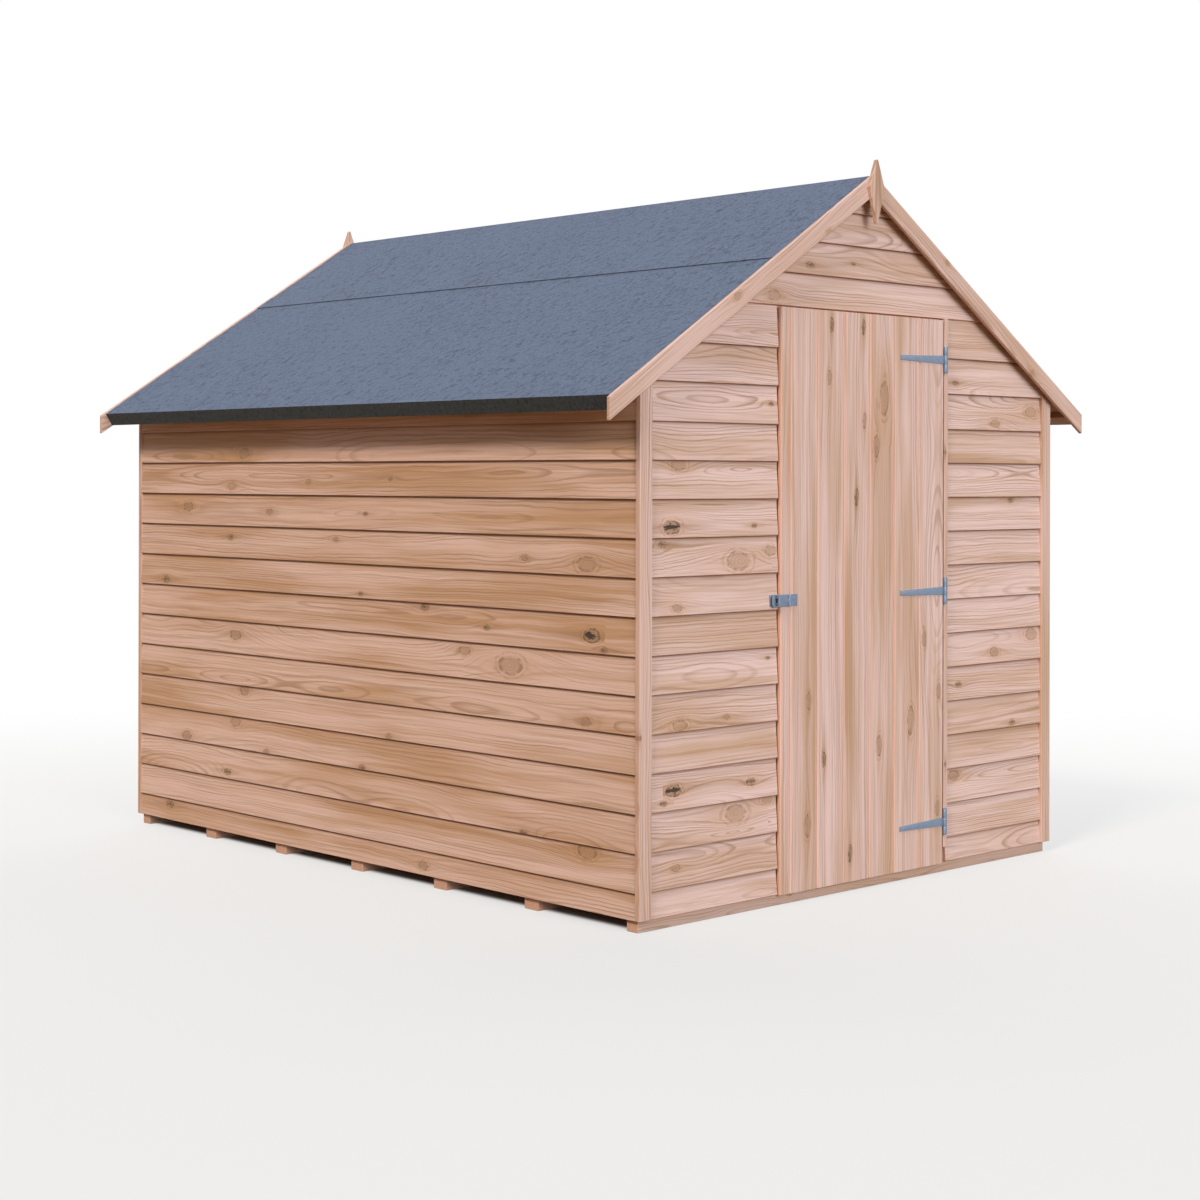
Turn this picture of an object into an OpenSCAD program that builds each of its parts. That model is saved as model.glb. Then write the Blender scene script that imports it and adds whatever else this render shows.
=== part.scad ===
// Apex-roofed wooden garden shed with lapped boards, a felted roof and one ledged door.
// The origin is on the ground at the middle of the shed. The front is towards -Y, +Z is up, in millimetres.

/* [Walls] */
// Width over the side cladding
shed_w = 1830; // [1600:10:2400]
// Depth over the gable cladding
shed_d = 2440; // [1800:10:3600]
// Height of the cladding's lower edge above the ground
cladding_foot = 33; // [20:1:45]
// Thickness of a lapped board at its lower edge
lap_t = 12; // [8:1:20]
// Thickness left where the next board up covers it
lap_top_t = 4; // [2:1:7]
// Height of board that shows in a course
course_h = 102.5; // [85:0.5:130]
// Height that shows of the lowest board
starter_h = 71.5; // [50:0.5:120]
// Height of board that shows just below the door head
head_course_h = 117.5; // [95:0.5:130]
// Height of board that shows in the gable over the door
gable_course_h = 94; // [80:1:120]
// Side of the square framing timbers
frame_t = 28; // [22:1:45]
// Width of a corner trim
trim_w = 45; // [35:1:70]

/* [Floor] */
// Height of the floor bearers
bearer_h = 45; // [40:1:75]
// Width of the bearers between the ends
bearer_w = 57; // [38:1:80]
// Width of the first and last bearer
end_bearer_w = 42; // [28:1:80]
// Number of bearers
bearer_count = 7; // [3:1:9]
// Thickness of the floor boards
floor_t = 12; // [9:1:22]

/* [Roof] */
// Pitch of both roof slopes in degrees
roof_pitch = 32.5; // [26:0.5:38]
// Height of the ridge above the head of the doorway
gable_rise = 395; // [320:5:600]
// Level overhang of the eaves beyond the side cladding
eaves_overhang = 121; // [90:1:200]
// Overhang of the roof beyond the gable cladding
verge_overhang = 20; // [12:1:80]
// Thickness of the roof boards
roof_board_t = 12; // [9:1:22]
// Depth of the battens under the roof boards
roof_batten_h = 31; // [20:1:45]
// Width of the battens under the roof boards
roof_batten_w = 38; // [28:1:60]
// Thickness of one layer of felt
felt_t = 2.5; // [1.5:0.5:4]
// Length of the ridge sheet of felt down each slope
ridge_sheet_l = 500; // [300:10:700]
// Overlap of the ridge sheet on the sheet below it
felt_lap = 75; // [50:5:120]
// Width of a bargeboard, square to its length
barge_w = 51; // [40:1:90]
// Thickness of a bargeboard
barge_t = 12; // [9:1:25]
// How far a bargeboard runs on past the eaves
barge_end = 14; // [0:1:40]
// Height of a finial
finial_h = 183; // [120:1:260]
// Width of a finial at its shoulders
finial_w = 67; // [40:1:100]
// Thickness of a finial
finial_t = 12; // [9:1:25]
// Height of a finial's top above the ridge
finial_rise = 41; // [20:1:80]
// Distance from a finial's top down to its shoulders
finial_shoulder = 82; // [60:1:110]
// Width of a finial's blunt tips
finial_tip_w = 6; // [4:1:14]

/* [Door] */
// Width of the door
door_w = 730; // [600:5:800]
// Height of the door
door_h = 1630; // [1500:5:2000]
// Height of the door's lower edge above the ground
door_foot = 30; // [20:1:45]
// Place of the door's middle, to the right of the shed's middle
door_offset = -4; // [-60:1:60]
// Clearance around and behind the door
door_gap = 5; // [4:0.5:8]
// Thickness of the door's boards
door_board_t = 12; // [10:0.5:22]
// Width of one door board
door_board_w = 115; // [80:0.5:140]
// Depth of the grooves between door boards
groove_d = 3; // [1:0.5:5]
// How far the door covers its posts and head rail
door_lap = 15; // [10:1:20]
// Width of a door post
post_w = 55; // [45:1:80]
// Width of the strip that carries the hinges
hinge_strip_w = 18; // [16:1:40]
// Height of that strip's lower end above the ground
hinge_strip_foot = 77; // [45:1:100]
// Height of the rail over the doorway
head_h = 45; // [30:1:70]
// Height of a ledge
ledge_h = 70; // [50:1:110]
// Thickness of the ledges and braces
ledge_t = 20; // [15:1:28]
// Width of a brace
brace_w = 60; // [40:1:90]

/* [Hinges] */
// Distance from the door's bottom up to its lowest hinge
hinge_foot_inset = 125; // [80:1:200]
// Distance from the door's top down to its highest hinge
hinge_head_inset = 119; // [80:1:200]
// Height of a hinge's upright plate
hinge_plate_h = 79; // [60:1:120]
// Distance from a hinge's pin to the far edge of its plate
hinge_plate_reach = 16; // [12:0.5:18]
// Length of a hinge's strap from its pin to its tip
strap_l = 208; // [120:1:300]
// Height of a strap at its root
strap_root_h = 25; // [18:1:40]
// Height of a strap at its tip
strap_tip_h = 14; // [8:1:18]
// Thickness of the hinge metal
hinge_t = 2.5; // [1.5:0.5:4]
// Radius of a hinge's knuckle
knuckle_r = 5; // [4.5:0.5:8]
// Radius of a hinge's pin
pin_r = 2.5; // [1.5:0.5:3]

/* [Hasp] */
// Height of the hasp's middle above the ground
hasp_z = 846; // [700:1:1100]
// Height of the hasp
hasp_h = 33; // [25:1:50]
// Distance from the door's latch edge to the hasp's pin
hasp_pin_inset = 32.5; // [20:0.5:60]
// Length of the leaf that is fixed to the door
hasp_leaf_l = 35; // [25:1:60]
// Thickness of the hasp metal
hasp_t = 2; // [1.5:0.5:3]
// Radius of the hasp's knuckle
hasp_knuckle_r = 4; // [3.5:0.5:6]
// Radius of the hasp's pin
hasp_pin_r = 2; // [1.5:0.5:2.5]
// Distance from the door's latch edge to the staple
staple_offset = 22; // [20:0.5:40]
// Length of the flap beyond the staple
flap_end_l = 17.5; // [11:0.5:20]
// Radius of the staple's rod
staple_rod_r = 2.5; // [2:0.5:3]
// Distance between the staple's legs
staple_span = 17; // [14:1:20]
// How far the staple stands in front of the flap
staple_stand = 13; // [10:1:15]
// Width of the slot in the flap
slot_w = 11; // [10:0.5:14]

/* [Hidden] */
$fn = 48;
wood = [0.80, 0.64, 0.55];
shaded_wood = [0.72, 0.55, 0.44];
felt_grey = [0.42, 0.46, 0.55];
zinc = [0.48, 0.58, 0.67];

// Running clearance between a knuckle and its pin, and along a pin between knuckles
pin_clearance = 0.1;
knuckle_gap = 0.5;
// Room between faces that meet on a slope
layer_gap = 0.1;
// Room left between the two slopes' timbers at the ridge
ridge_gap = 2;
// Room between the door's ledges and the door posts
ledge_gap = 8;
// Room between a plate and the knuckle that turns beside it
knuckle_room = 1;

// Plan sizes of the walls
half_w = shed_w / 2;
half_d = shed_d / 2;
frame_half_w = half_w - lap_t;
frame_half_d = half_d - lap_t;
room_half_w = frame_half_w - frame_t;
room_half_d = frame_half_d - frame_t;
floor_top = bearer_h + floor_t;
// The door closes against the framing, and the trims are as thick as the door and its clearance
front_face = frame_half_d + door_gap + door_board_t;

// Door opening
door_left = door_offset - door_w / 2;
door_right = door_offset + door_w / 2;
door_top = door_foot + door_h;
head_line = door_top + door_gap;
latch_post_face = door_left + door_lap;
hinge_post_face = door_right - door_lap;
hinge_strip_left = door_right + door_gap;
door_back = front_face - door_board_t;
lowest_hinge = door_foot + hinge_foot_inset;
highest_hinge = door_top - hinge_head_inset;
hinge_heights = [lowest_hinge, (lowest_hinge + highest_hinge) / 2, highest_hinge];
pin_x = door_right + door_gap / 2;
pin_y = -front_face - knuckle_r;

// Roof planes, as depths square to the slope below the outermost face of the felt
ridge_h = head_line + gable_rise;
side_felt_depth = felt_t + layer_gap;
under_felt = side_felt_depth + felt_t;
boards_depth = under_felt + layer_gap;
under_boards = boards_depth + roof_board_t;
seat_depth = under_boards + layer_gap;
under_battens = seat_depth + roof_batten_h;
under_rafters = seat_depth + frame_t;
eaves_half = half_w + eaves_overhang;
slope_l = eaves_half / cos(roof_pitch);
boards_l = slope_l - felt_t - layer_gap;
roof_half_d = half_d + verge_overhang;
barge_half_d = roof_half_d + barge_t;
barge_half = eaves_half + barge_end;

// Hasp and staple
hasp_pin_x = door_left + hasp_pin_inset;
hasp_pin_y = -front_face - hasp_knuckle_r;
staple_x = door_left - staple_offset;
staple_reach = hasp_pin_inset + staple_offset;
hasp_flap_l = staple_reach + flap_end_l;
flap_front = hasp_pin_y - hasp_t / 2;

// Heights of the lower edges of the boards in the walls
first_line = cladding_foot + starter_h;
// Courses below the door head that are eased to meet it, with the uppermost one
eased_courses = 3;
plain_courses = floor((head_line - first_line) / course_h) - eased_courses;
eased_from = first_line + plain_courses * course_h;
eased_h = (head_line - eased_from - head_course_h) / (eased_courses - 1);
side_lines = [for (z = [first_line : course_h : ridge_h]) z];
gable_lines = concat(
    [for (i = [0 : plain_courses - 1]) first_line + i * course_h],
    [for (i = [0 : eased_courses - 1]) eased_from + i * eased_h],
    [for (z = [head_line : gable_course_h : ridge_h]) z]
);

// A point at distance s down the right-hand slope and at a depth below the felt's outermost face
function slope_point(s, depth) = [
    s * cos(roof_pitch) - depth * sin(roof_pitch),
    ridge_h - s * sin(roof_pitch) - depth * cos(roof_pitch)
];
// Height of a roof plane at a place across the shed
function roof_z(x, depth) = ridge_h - depth / cos(roof_pitch) - abs(x) * tan(roof_pitch);
function mirrored(points) = [for (i = [len(points) - 1 : -1 : 0]) [-points[i][0], points[i][1]]];

// Extrudes an outline drawn in X and Z from y0 to y1
module along_y(y0, y1) {
    translate([0, y1, 0]) rotate([90, 0, 0]) linear_extrude(y1 - y0) children();
}

// Extrudes an outline drawn in Y and Z from x0 to x1
module along_x(x0, x1) {
    translate([x0, 0, 0]) rotate([90, 0, 90]) linear_extrude(x1 - x0) children();
}

module box(low, high) {
    translate(low) cube(high - low);
}

module left_of(mirrored_side) {
    mirror([mirrored_side ? 1 : 0, 0, 0]) children();
}

module back_of(mirrored_side) {
    mirror([0, mirrored_side ? 1 : 0, 0]) children();
}

// Everything below a roof plane, from one height up and between two places across the shed
module below_roof(x0, x1, z0, depth) {
    crown = x0 < 0 && x1 > 0 ? [[0, roof_z(0, depth)]] : [];
    polygon(concat([[x0, z0], [x1, z0], [x1, roof_z(x1, depth)]], crown, [[x0, roof_z(x0, depth)]]));
}

// Section of lapped cladding: the framing side is at 0, and each board tapers up to the next lap line
module lap_section(lines) {
    edges = concat([cladding_foot], lines);
    last = len(edges) - 1;
    polygon(concat(
        [[0, cladding_foot]],
        [for (i = [0 : last], top = [0, 1])
            if (i < last || top == 0)
                top == 0 ? [lap_t, edges[i]] : [lap_top_t, edges[i + 1]]],
        [[0, edges[last]]]
    ));
}

// Floor

module bearers() {
    pitch = (2 * frame_half_d - end_bearer_w) / (bearer_count - 1);
    color(wood) for (i = [0 : bearer_count - 1]) {
        is_end = i == 0 || i == bearer_count - 1;
        w = is_end ? end_bearer_w : bearer_w;
        y = -frame_half_d + end_bearer_w / 2 + i * pitch;
        box([-frame_half_w, y - w / 2, 0], [frame_half_w, y + w / 2, bearer_h]);
    }
}

module floor_boards() {
    color(shaded_wood)
        box([-frame_half_w, -frame_half_d, bearer_h], [frame_half_w, frame_half_d, floor_top]);
}

// Wall cladding

module side_cladding(is_left) {
    color(wood) left_of(is_left) intersection() {
        along_y(-frame_half_d, frame_half_d) translate([frame_half_w, 0]) lap_section(side_lines);
        along_y(-frame_half_d, frame_half_d) below_roof(frame_half_w, half_w, 0, seat_depth);
    }
}

// A piece of gable cladding inside an outline drawn in X and Z
module gable_cladding(is_back) {
    color(wood) back_of(is_back) intersection() {
        along_x(-half_w, half_w) mirror([1, 0]) translate([frame_half_d, 0]) lap_section(gable_lines);
        along_y(-half_d, -frame_half_d) children();
    }
}

module back_wall_cladding() {
    gable_cladding(true) below_roof(trim_w - half_w, half_w - trim_w, 0, seat_depth);
}

module front_wall_cladding(x0, x1) {
    gable_cladding(false) intersection() {
        below_roof(x0, x1, 0, seat_depth);
        translate([x0, 0]) square([x1 - x0, head_line]);
    }
}

module front_gable_cladding() {
    reach = half_w - trim_w;
    gable_cladding(false) intersection() {
        below_roof(-reach, reach, 0, seat_depth);
        translate([-reach, head_line]) square([2 * reach, gable_rise]);
    }
}

// Wall framing

module side_studs(is_left) {
    stud_count = 5;
    pitch = (2 * frame_half_d - frame_t) / (stud_count - 1);
    rail_under = roof_z(frame_half_w, seat_depth) - frame_t;
    color(shaded_wood) left_of(is_left) for (i = [0 : stud_count - 1]) {
        y = -frame_half_d + i * pitch;
        box([room_half_w, y, floor_top + frame_t], [frame_half_w, y + frame_t, rail_under]);
    }
}

module side_rails(is_left) {
    rail_under = roof_z(frame_half_w, seat_depth) - frame_t;
    color(shaded_wood) left_of(is_left) {
        box([room_half_w, -frame_half_d, floor_top], [frame_half_w, frame_half_d, floor_top + frame_t]);
        along_y(-frame_half_d, frame_half_d) below_roof(room_half_w, frame_half_w, rail_under, seat_depth);
    }
}

// An upright of a gable frame, cut to the slope under the rafters
module gable_stud(x0, x1, z0) {
    along_y(-frame_half_d, -room_half_d) below_roof(x0, x1, z0, under_rafters + layer_gap);
}

module front_wall_studs() {
    color(shaded_wood) {
        for (side = [0, 1]) mirror([side, 0, 0])
            gable_stud(room_half_w - frame_t, room_half_w, floor_top + frame_t);
        gable_stud(latch_post_face - post_w, latch_post_face, floor_top);
        gable_stud(hinge_post_face, hinge_post_face + post_w, floor_top);
    }
}

module front_wall_rails() {
    rail_top = floor_top + frame_t;
    head_under = door_top - door_lap;
    color(shaded_wood) {
        box([-room_half_w, -frame_half_d, floor_top], [latch_post_face - post_w, -room_half_d, rail_top]);
        box([hinge_post_face + post_w, -frame_half_d, floor_top], [room_half_w, -room_half_d, rail_top]);
        box(
            [latch_post_face, -frame_half_d, head_under],
            [hinge_post_face, -room_half_d, head_under + head_h]
        );
    }
}

module back_wall_studs() {
    color(shaded_wood) back_of(true) for (side = [0, 1]) mirror([side, 0, 0]) {
        gable_stud(room_half_w - frame_t, room_half_w, floor_top + frame_t);
        gable_stud(room_half_w / 3, room_half_w / 3 + frame_t, floor_top + frame_t);
    }
}

module back_wall_rail() {
    color(shaded_wood) back_of(true)
        box([-room_half_w, -frame_half_d, floor_top], [room_half_w, -room_half_d, floor_top + frame_t]);
}

module rafters(is_back) {
    top_x = ridge_gap / 2;
    color(shaded_wood) back_of(is_back) along_y(-frame_half_d, -room_half_d)
        for (side = [0, 1]) mirror([side, 0]) polygon([
            [top_x, roof_z(top_x, seat_depth)], [room_half_w, roof_z(room_half_w, seat_depth)],
            [room_half_w, roof_z(room_half_w, under_rafters)], [top_x, roof_z(top_x, under_rafters)]
        ]);
}

// Trims

module corner_trim(is_left, is_back) {
    color(wood) left_of(is_left) back_of(is_back)
        along_y(-front_face, -frame_half_d) below_roof(half_w - trim_w, half_w, cladding_foot, seat_depth);
}

module hinge_strip() {
    color(wood) box(
        [hinge_strip_left, -front_face, hinge_strip_foot],
        [hinge_strip_left + hinge_strip_w, -frame_half_d, head_line]
    );
}

// Roof

module slope_piece(is_left, s0, s1, depth0, depth1, half_length) {
    left_of(is_left) along_y(-half_length, half_length) polygon([
        slope_point(s0, depth0), slope_point(s1, depth0), slope_point(s1, depth1), slope_point(s0, depth1)
    ]);
}

module roof_boards(is_left) {
    color(shaded_wood) left_of(is_left) along_y(-roof_half_d, roof_half_d) polygon([
        [0, roof_z(0, boards_depth)], slope_point(boards_l, boards_depth),
        slope_point(boards_l, under_boards), [0, roof_z(0, under_boards)]
    ]);
}

module roof_battens(is_left) {
    eaves_s = boards_l - roof_batten_w;
    ridge_s = (ridge_gap / 2 + under_battens * sin(roof_pitch)) / cos(roof_pitch);
    middle_s = (ridge_s + frame_half_w / cos(roof_pitch) - roof_batten_w) / 2;
    color(shaded_wood) {
        for (s = [ridge_s, middle_s])
            slope_piece(is_left, s, s + roof_batten_w, seat_depth, under_battens, room_half_d);
        slope_piece(is_left, eaves_s, boards_l, seat_depth, under_battens, roof_half_d);
    }
}

// The sheet on one slope, turned down over the eaves
module felt_side(is_left) {
    top_s = ridge_sheet_l - felt_lap;
    color(felt_grey) left_of(is_left) along_y(-roof_half_d, roof_half_d) polygon([
        slope_point(top_s, side_felt_depth), slope_point(slope_l, side_felt_depth),
        slope_point(slope_l, under_battens), slope_point(slope_l - felt_t, under_battens),
        slope_point(slope_l - felt_t, under_felt), slope_point(top_s, under_felt)
    ]);
}

// The sheet over the ridge, stepped up where it laps the sheets below
module felt_ridge() {
    step_s = ridge_sheet_l - felt_lap - layer_gap;
    ramp = 3 * felt_t;
    outer = [
        slope_point(step_s - ramp, side_felt_depth), slope_point(step_s, 0),
        slope_point(ridge_sheet_l, 0)
    ];
    inner = [
        slope_point(ridge_sheet_l, felt_t), slope_point(step_s, felt_t),
        slope_point(step_s - ramp, under_felt)
    ];
    color(felt_grey) along_y(-roof_half_d, roof_half_d) polygon(concat(
        [[0, roof_z(0, side_felt_depth)]], outer, inner,
        [[0, roof_z(0, under_felt)]], mirrored(inner), mirrored(outer)
    ));
}

module bargeboard(is_left, is_back) {
    color(wood) left_of(is_left) back_of(is_back) along_y(-barge_half_d, -roof_half_d) polygon([
        [0, roof_z(0, 0)], [barge_half, roof_z(barge_half, 0)],
        [barge_half, roof_z(barge_half, barge_w)], [0, roof_z(0, barge_w)]
    ]);
}

module finial(is_back) {
    top = ridge_h + finial_rise;
    right = [
        [finial_tip_w / 2, top], [finial_w / 2, top - finial_shoulder], [finial_tip_w / 2, top - finial_h]
    ];
    color(wood) back_of(is_back) along_y(-barge_half_d - finial_t, -barge_half_d)
        polygon(concat(right, mirrored(right)));
}

// Door

module door_boards() {
    grooves = [for (x = [door_right - door_board_w : -door_board_w : door_left + 2 * groove_d]) x];
    color(wood) translate([0, 0, door_foot]) linear_extrude(door_h) polygon(concat(
        [[door_left, -door_back], [door_right, -door_back], [door_right, -front_face]],
        [for (x = grooves, corner = [1, 0, -1])
            [x + corner * groove_d / 2, -front_face + (corner == 0 ? groove_d : 0)]],
        [[door_left, -front_face]]
    ));
}

module door_ledges() {
    color(shaded_wood) for (z = hinge_heights) box(
        [latch_post_face + ledge_gap, -door_back, z - ledge_h / 2],
        [hinge_post_face - ledge_gap, -door_back + ledge_t, z + ledge_h / 2]
    );
}

// Each brace rises from the hinge side of one ledge to the latch side of the next
module door_braces() {
    foot_x = hinge_post_face - ledge_gap;
    head_x = latch_post_face + ledge_gap;
    color(shaded_wood) along_y(-door_back, -door_back + ledge_t) for (i = [0, 1]) {
        z0 = hinge_heights[i] + ledge_h / 2;
        z1 = hinge_heights[i + 1] - ledge_h / 2;
        polygon([[foot_x, z0], [foot_x - brace_w, z0], [head_x, z1], [head_x + brace_w, z1]]);
    }
}

// Hinges

// Lengths of the three knuckles on one pin of height h, with a gap on both sides of the middle one
function knuckle_h(h) = (h - 2 * knuckle_gap) / 3;

module upper_and_lower(h) {
    for (side = [0, 1]) mirror([0, 0, side]) translate([0, 0, h / 2 - knuckle_h(h)]) children();
}

module hinge_plate() {
    tab_l = knuckle_r + knuckle_room;
    translate([0, knuckle_r - hinge_t, 0]) {
        translate([tab_l, 0, -hinge_plate_h / 2])
            cube([hinge_plate_reach - tab_l, hinge_t, hinge_plate_h]);
        upper_and_lower(hinge_plate_h) cube([tab_l, hinge_t, knuckle_h(hinge_plate_h)]);
    }
    upper_and_lower(hinge_plate_h) cylinder(r = knuckle_r, h = knuckle_h(hinge_plate_h));
    cylinder(r = pin_r, h = hinge_plate_h, center = true);
}

module hinge_strap() {
    middle_h = knuckle_h(hinge_plate_h);
    root_x = knuckle_r + knuckle_room;
    tab_l = root_x + hinge_t;
    difference() {
        union() {
            cylinder(r = knuckle_r, h = middle_h, center = true);
            translate([-tab_l, knuckle_r - hinge_t, -middle_h / 2]) cube([tab_l, hinge_t, middle_h]);
            along_y(knuckle_r - hinge_t, knuckle_r) polygon([
                [-root_x, -strap_root_h / 2], [-root_x, strap_root_h / 2],
                [-strap_l, strap_tip_h / 2], [-strap_l, -strap_tip_h / 2]
            ]);
        }
        cylinder(r = pin_r + pin_clearance, h = hinge_plate_h, center = true);
    }
}

module hinge_plates() {
    color(zinc) for (z = hinge_heights) translate([pin_x, pin_y, z]) hinge_plate();
}

module hinge_straps() {
    color(zinc) for (z = hinge_heights) translate([pin_x, pin_y, z]) hinge_strap();
}

// Hasp and staple

module hasp_leaf() {
    tab_l = hasp_knuckle_r + knuckle_room;
    color(zinc) translate([hasp_pin_x, hasp_pin_y, hasp_z]) {
        translate([tab_l, hasp_knuckle_r - hasp_t, -hasp_h / 2])
            cube([hasp_leaf_l - tab_l, hasp_t, hasp_h]);
        upper_and_lower(hasp_h) {
            translate([0, hasp_knuckle_r - hasp_t, 0]) cube([tab_l, hasp_t, knuckle_h(hasp_h)]);
            cylinder(r = hasp_knuckle_r, h = knuckle_h(hasp_h));
        }
        cylinder(r = hasp_pin_r, h = hasp_h, center = true);
    }
}

// Flat outline of the flap, with two round corners and the slot that drops over the staple
module flap_outline() {
    corner_r = hasp_h / 3;
    tab_l = hasp_knuckle_r + knuckle_room;
    slot_h = staple_span + 2 * staple_rod_r + slot_w / 2;
    difference() {
        union() {
            translate([corner_r - hasp_flap_l, -hasp_h / 2])
                square([hasp_flap_l - corner_r - tab_l, hasp_h]);
            translate([-hasp_flap_l, corner_r - hasp_h / 2]) square([corner_r, hasp_h - 2 * corner_r]);
            for (side = [-1, 1])
                translate([corner_r - hasp_flap_l, side * (hasp_h / 2 - corner_r)]) circle(corner_r);
        }
        translate([-staple_reach, 0]) square([slot_w, slot_h], center = true);
    }
}

module hasp_flap() {
    middle_h = knuckle_h(hasp_h);
    tab_l = hasp_knuckle_r + knuckle_room + hasp_t;
    color(zinc) translate([hasp_pin_x, hasp_pin_y, hasp_z]) difference() {
        union() {
            along_y(-hasp_t / 2, hasp_t / 2) flap_outline();
            translate([-tab_l, -hasp_t / 2, -middle_h / 2]) cube([tab_l, hasp_t, middle_h]);
            cylinder(r = hasp_knuckle_r, h = middle_h, center = true);
        }
        cylinder(r = hasp_pin_r + pin_clearance, h = hasp_h, center = true);
    }
}

// The staple's foot is cut to the slope of the board that it is fixed to
module hasp_staple() {
    foot_t = 2;
    foot_front = half_d + foot_t;
    foot_left = staple_x - flap_end_l;
    foot_right = staple_x + slot_w;
    loop_y = flap_front - staple_stand + staple_rod_r;
    color(zinc) {
        difference() {
            box(
                [foot_left, -foot_front, hasp_z - hasp_h / 2],
                [foot_right, -frame_half_d - lap_top_t / 2, hasp_z + hasp_h / 2]
            );
            along_x(foot_left - slot_w, foot_right + slot_w)
                mirror([1, 0]) translate([frame_half_d + layer_gap, 0]) lap_section(gable_lines);
        }
        for (side = [-1, 1]) translate([staple_x, loop_y, hasp_z + side * staple_span / 2]) {
            rotate([-90, 0, 0]) cylinder(r = staple_rod_r, h = foot_t / 2 - foot_front - loop_y);
            sphere(staple_rod_r);
        }
        translate([staple_x, loop_y, hasp_z]) cylinder(r = staple_rod_r, h = staple_span, center = true);
    }
}

bearers();
floor_boards();
side_cladding(true);  // left_wall_cladding
side_cladding(false);  // right_wall_cladding
back_wall_cladding();
front_wall_cladding(trim_w - half_w, door_left - door_gap);  // front_wall_cladding_left
front_wall_cladding(hinge_strip_left + hinge_strip_w, half_w - trim_w);  // front_wall_cladding_right
front_gable_cladding();
side_studs(true);  // left_wall_studs
side_rails(true);  // left_wall_rails
side_studs(false);  // right_wall_studs
side_rails(false);  // right_wall_rails
back_wall_studs();
back_wall_rail();
rafters(true);  // back_rafters
front_wall_studs();
front_wall_rails();
rafters(false);  // front_rafters
corner_trim(true, false);  // front_left_corner_trim
corner_trim(false, false);  // front_right_corner_trim
corner_trim(true, true);  // back_left_corner_trim
corner_trim(false, true);  // back_right_corner_trim
hinge_strip();
roof_boards(true);  // roof_boards_left
roof_boards(false);  // roof_boards_right
roof_battens(true);  // roof_battens_left
roof_battens(false);  // roof_battens_right
felt_side(true);  // felt_left
felt_side(false);  // felt_right
felt_ridge();
bargeboard(true, false);  // front_bargeboard_left
bargeboard(false, false);  // front_bargeboard_right
bargeboard(true, true);  // back_bargeboard_left
bargeboard(false, true);  // back_bargeboard_right
finial(false);  // front_finial
finial(true);  // back_finial
door_boards();
door_ledges();
door_braces();
hinge_plates();
hinge_straps();
hasp_leaf();
hasp_flap();
hasp_staple();
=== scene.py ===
# %% [markdown]
# # A small garden shed, board by board
# The frame that is loaded here holds the shed's solids, in metres: the ground is at Z 0 and the
# door faces -Y. Each step below takes one piece of the real shed, says how it is made, and
# dresses it for the picture.

import math
import random

import bmesh
import bpy
from mathutils import Matrix, Vector, noise


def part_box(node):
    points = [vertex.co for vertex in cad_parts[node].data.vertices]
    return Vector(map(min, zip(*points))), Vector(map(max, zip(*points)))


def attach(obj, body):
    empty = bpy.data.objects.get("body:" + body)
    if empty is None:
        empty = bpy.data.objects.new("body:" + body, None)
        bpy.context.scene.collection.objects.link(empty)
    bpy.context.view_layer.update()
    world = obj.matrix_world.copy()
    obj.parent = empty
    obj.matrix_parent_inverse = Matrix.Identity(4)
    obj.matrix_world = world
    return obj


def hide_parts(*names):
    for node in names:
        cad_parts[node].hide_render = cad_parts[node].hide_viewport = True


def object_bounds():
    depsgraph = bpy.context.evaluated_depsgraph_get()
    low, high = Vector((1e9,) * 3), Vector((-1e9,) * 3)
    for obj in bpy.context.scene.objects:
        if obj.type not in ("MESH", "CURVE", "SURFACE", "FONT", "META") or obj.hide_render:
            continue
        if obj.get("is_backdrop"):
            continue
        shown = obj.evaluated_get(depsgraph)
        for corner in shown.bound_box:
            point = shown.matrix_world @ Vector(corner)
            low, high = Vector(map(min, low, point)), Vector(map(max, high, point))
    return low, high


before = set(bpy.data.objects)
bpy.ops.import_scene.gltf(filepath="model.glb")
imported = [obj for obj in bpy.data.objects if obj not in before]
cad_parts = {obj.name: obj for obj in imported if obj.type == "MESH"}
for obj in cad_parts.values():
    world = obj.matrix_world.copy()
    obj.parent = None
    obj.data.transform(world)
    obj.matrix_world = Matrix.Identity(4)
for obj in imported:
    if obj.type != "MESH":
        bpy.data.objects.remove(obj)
cad_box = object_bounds()
cad_size = [round(v, 3) for v in cad_box[1] - cad_box[0]]
print("nodes in the frame:", len(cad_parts), "size:", cad_size)

# %% [markdown]
# ## Camera
# The photograph was taken with the camera level, because its upright edges stay parallel. A level
# camera that still shows more ground than sky has its lens shifted down, so the shift is set and
# the pitch stays zero. The focal length is written in pixels of the square photograph, and
# Blender gets it in millimetres.

# %% Set the camera
PHOTO_SIDE = 1200
FOCAL_PIXELS = 2124.5
HORIZON_ROW = 477.7
CAMERA_PLACE = Vector((-4.774, -5.147, 1.185))
CAMERA_TURN = math.radians(43.45)
CAMERA_ROLL = math.radians(0.14)


def put_in_scene(name, data):
    """A new object with this data, linked into the scene."""
    made = bpy.data.objects.new(name, data)
    bpy.context.scene.collection.objects.link(made)
    return made


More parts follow.
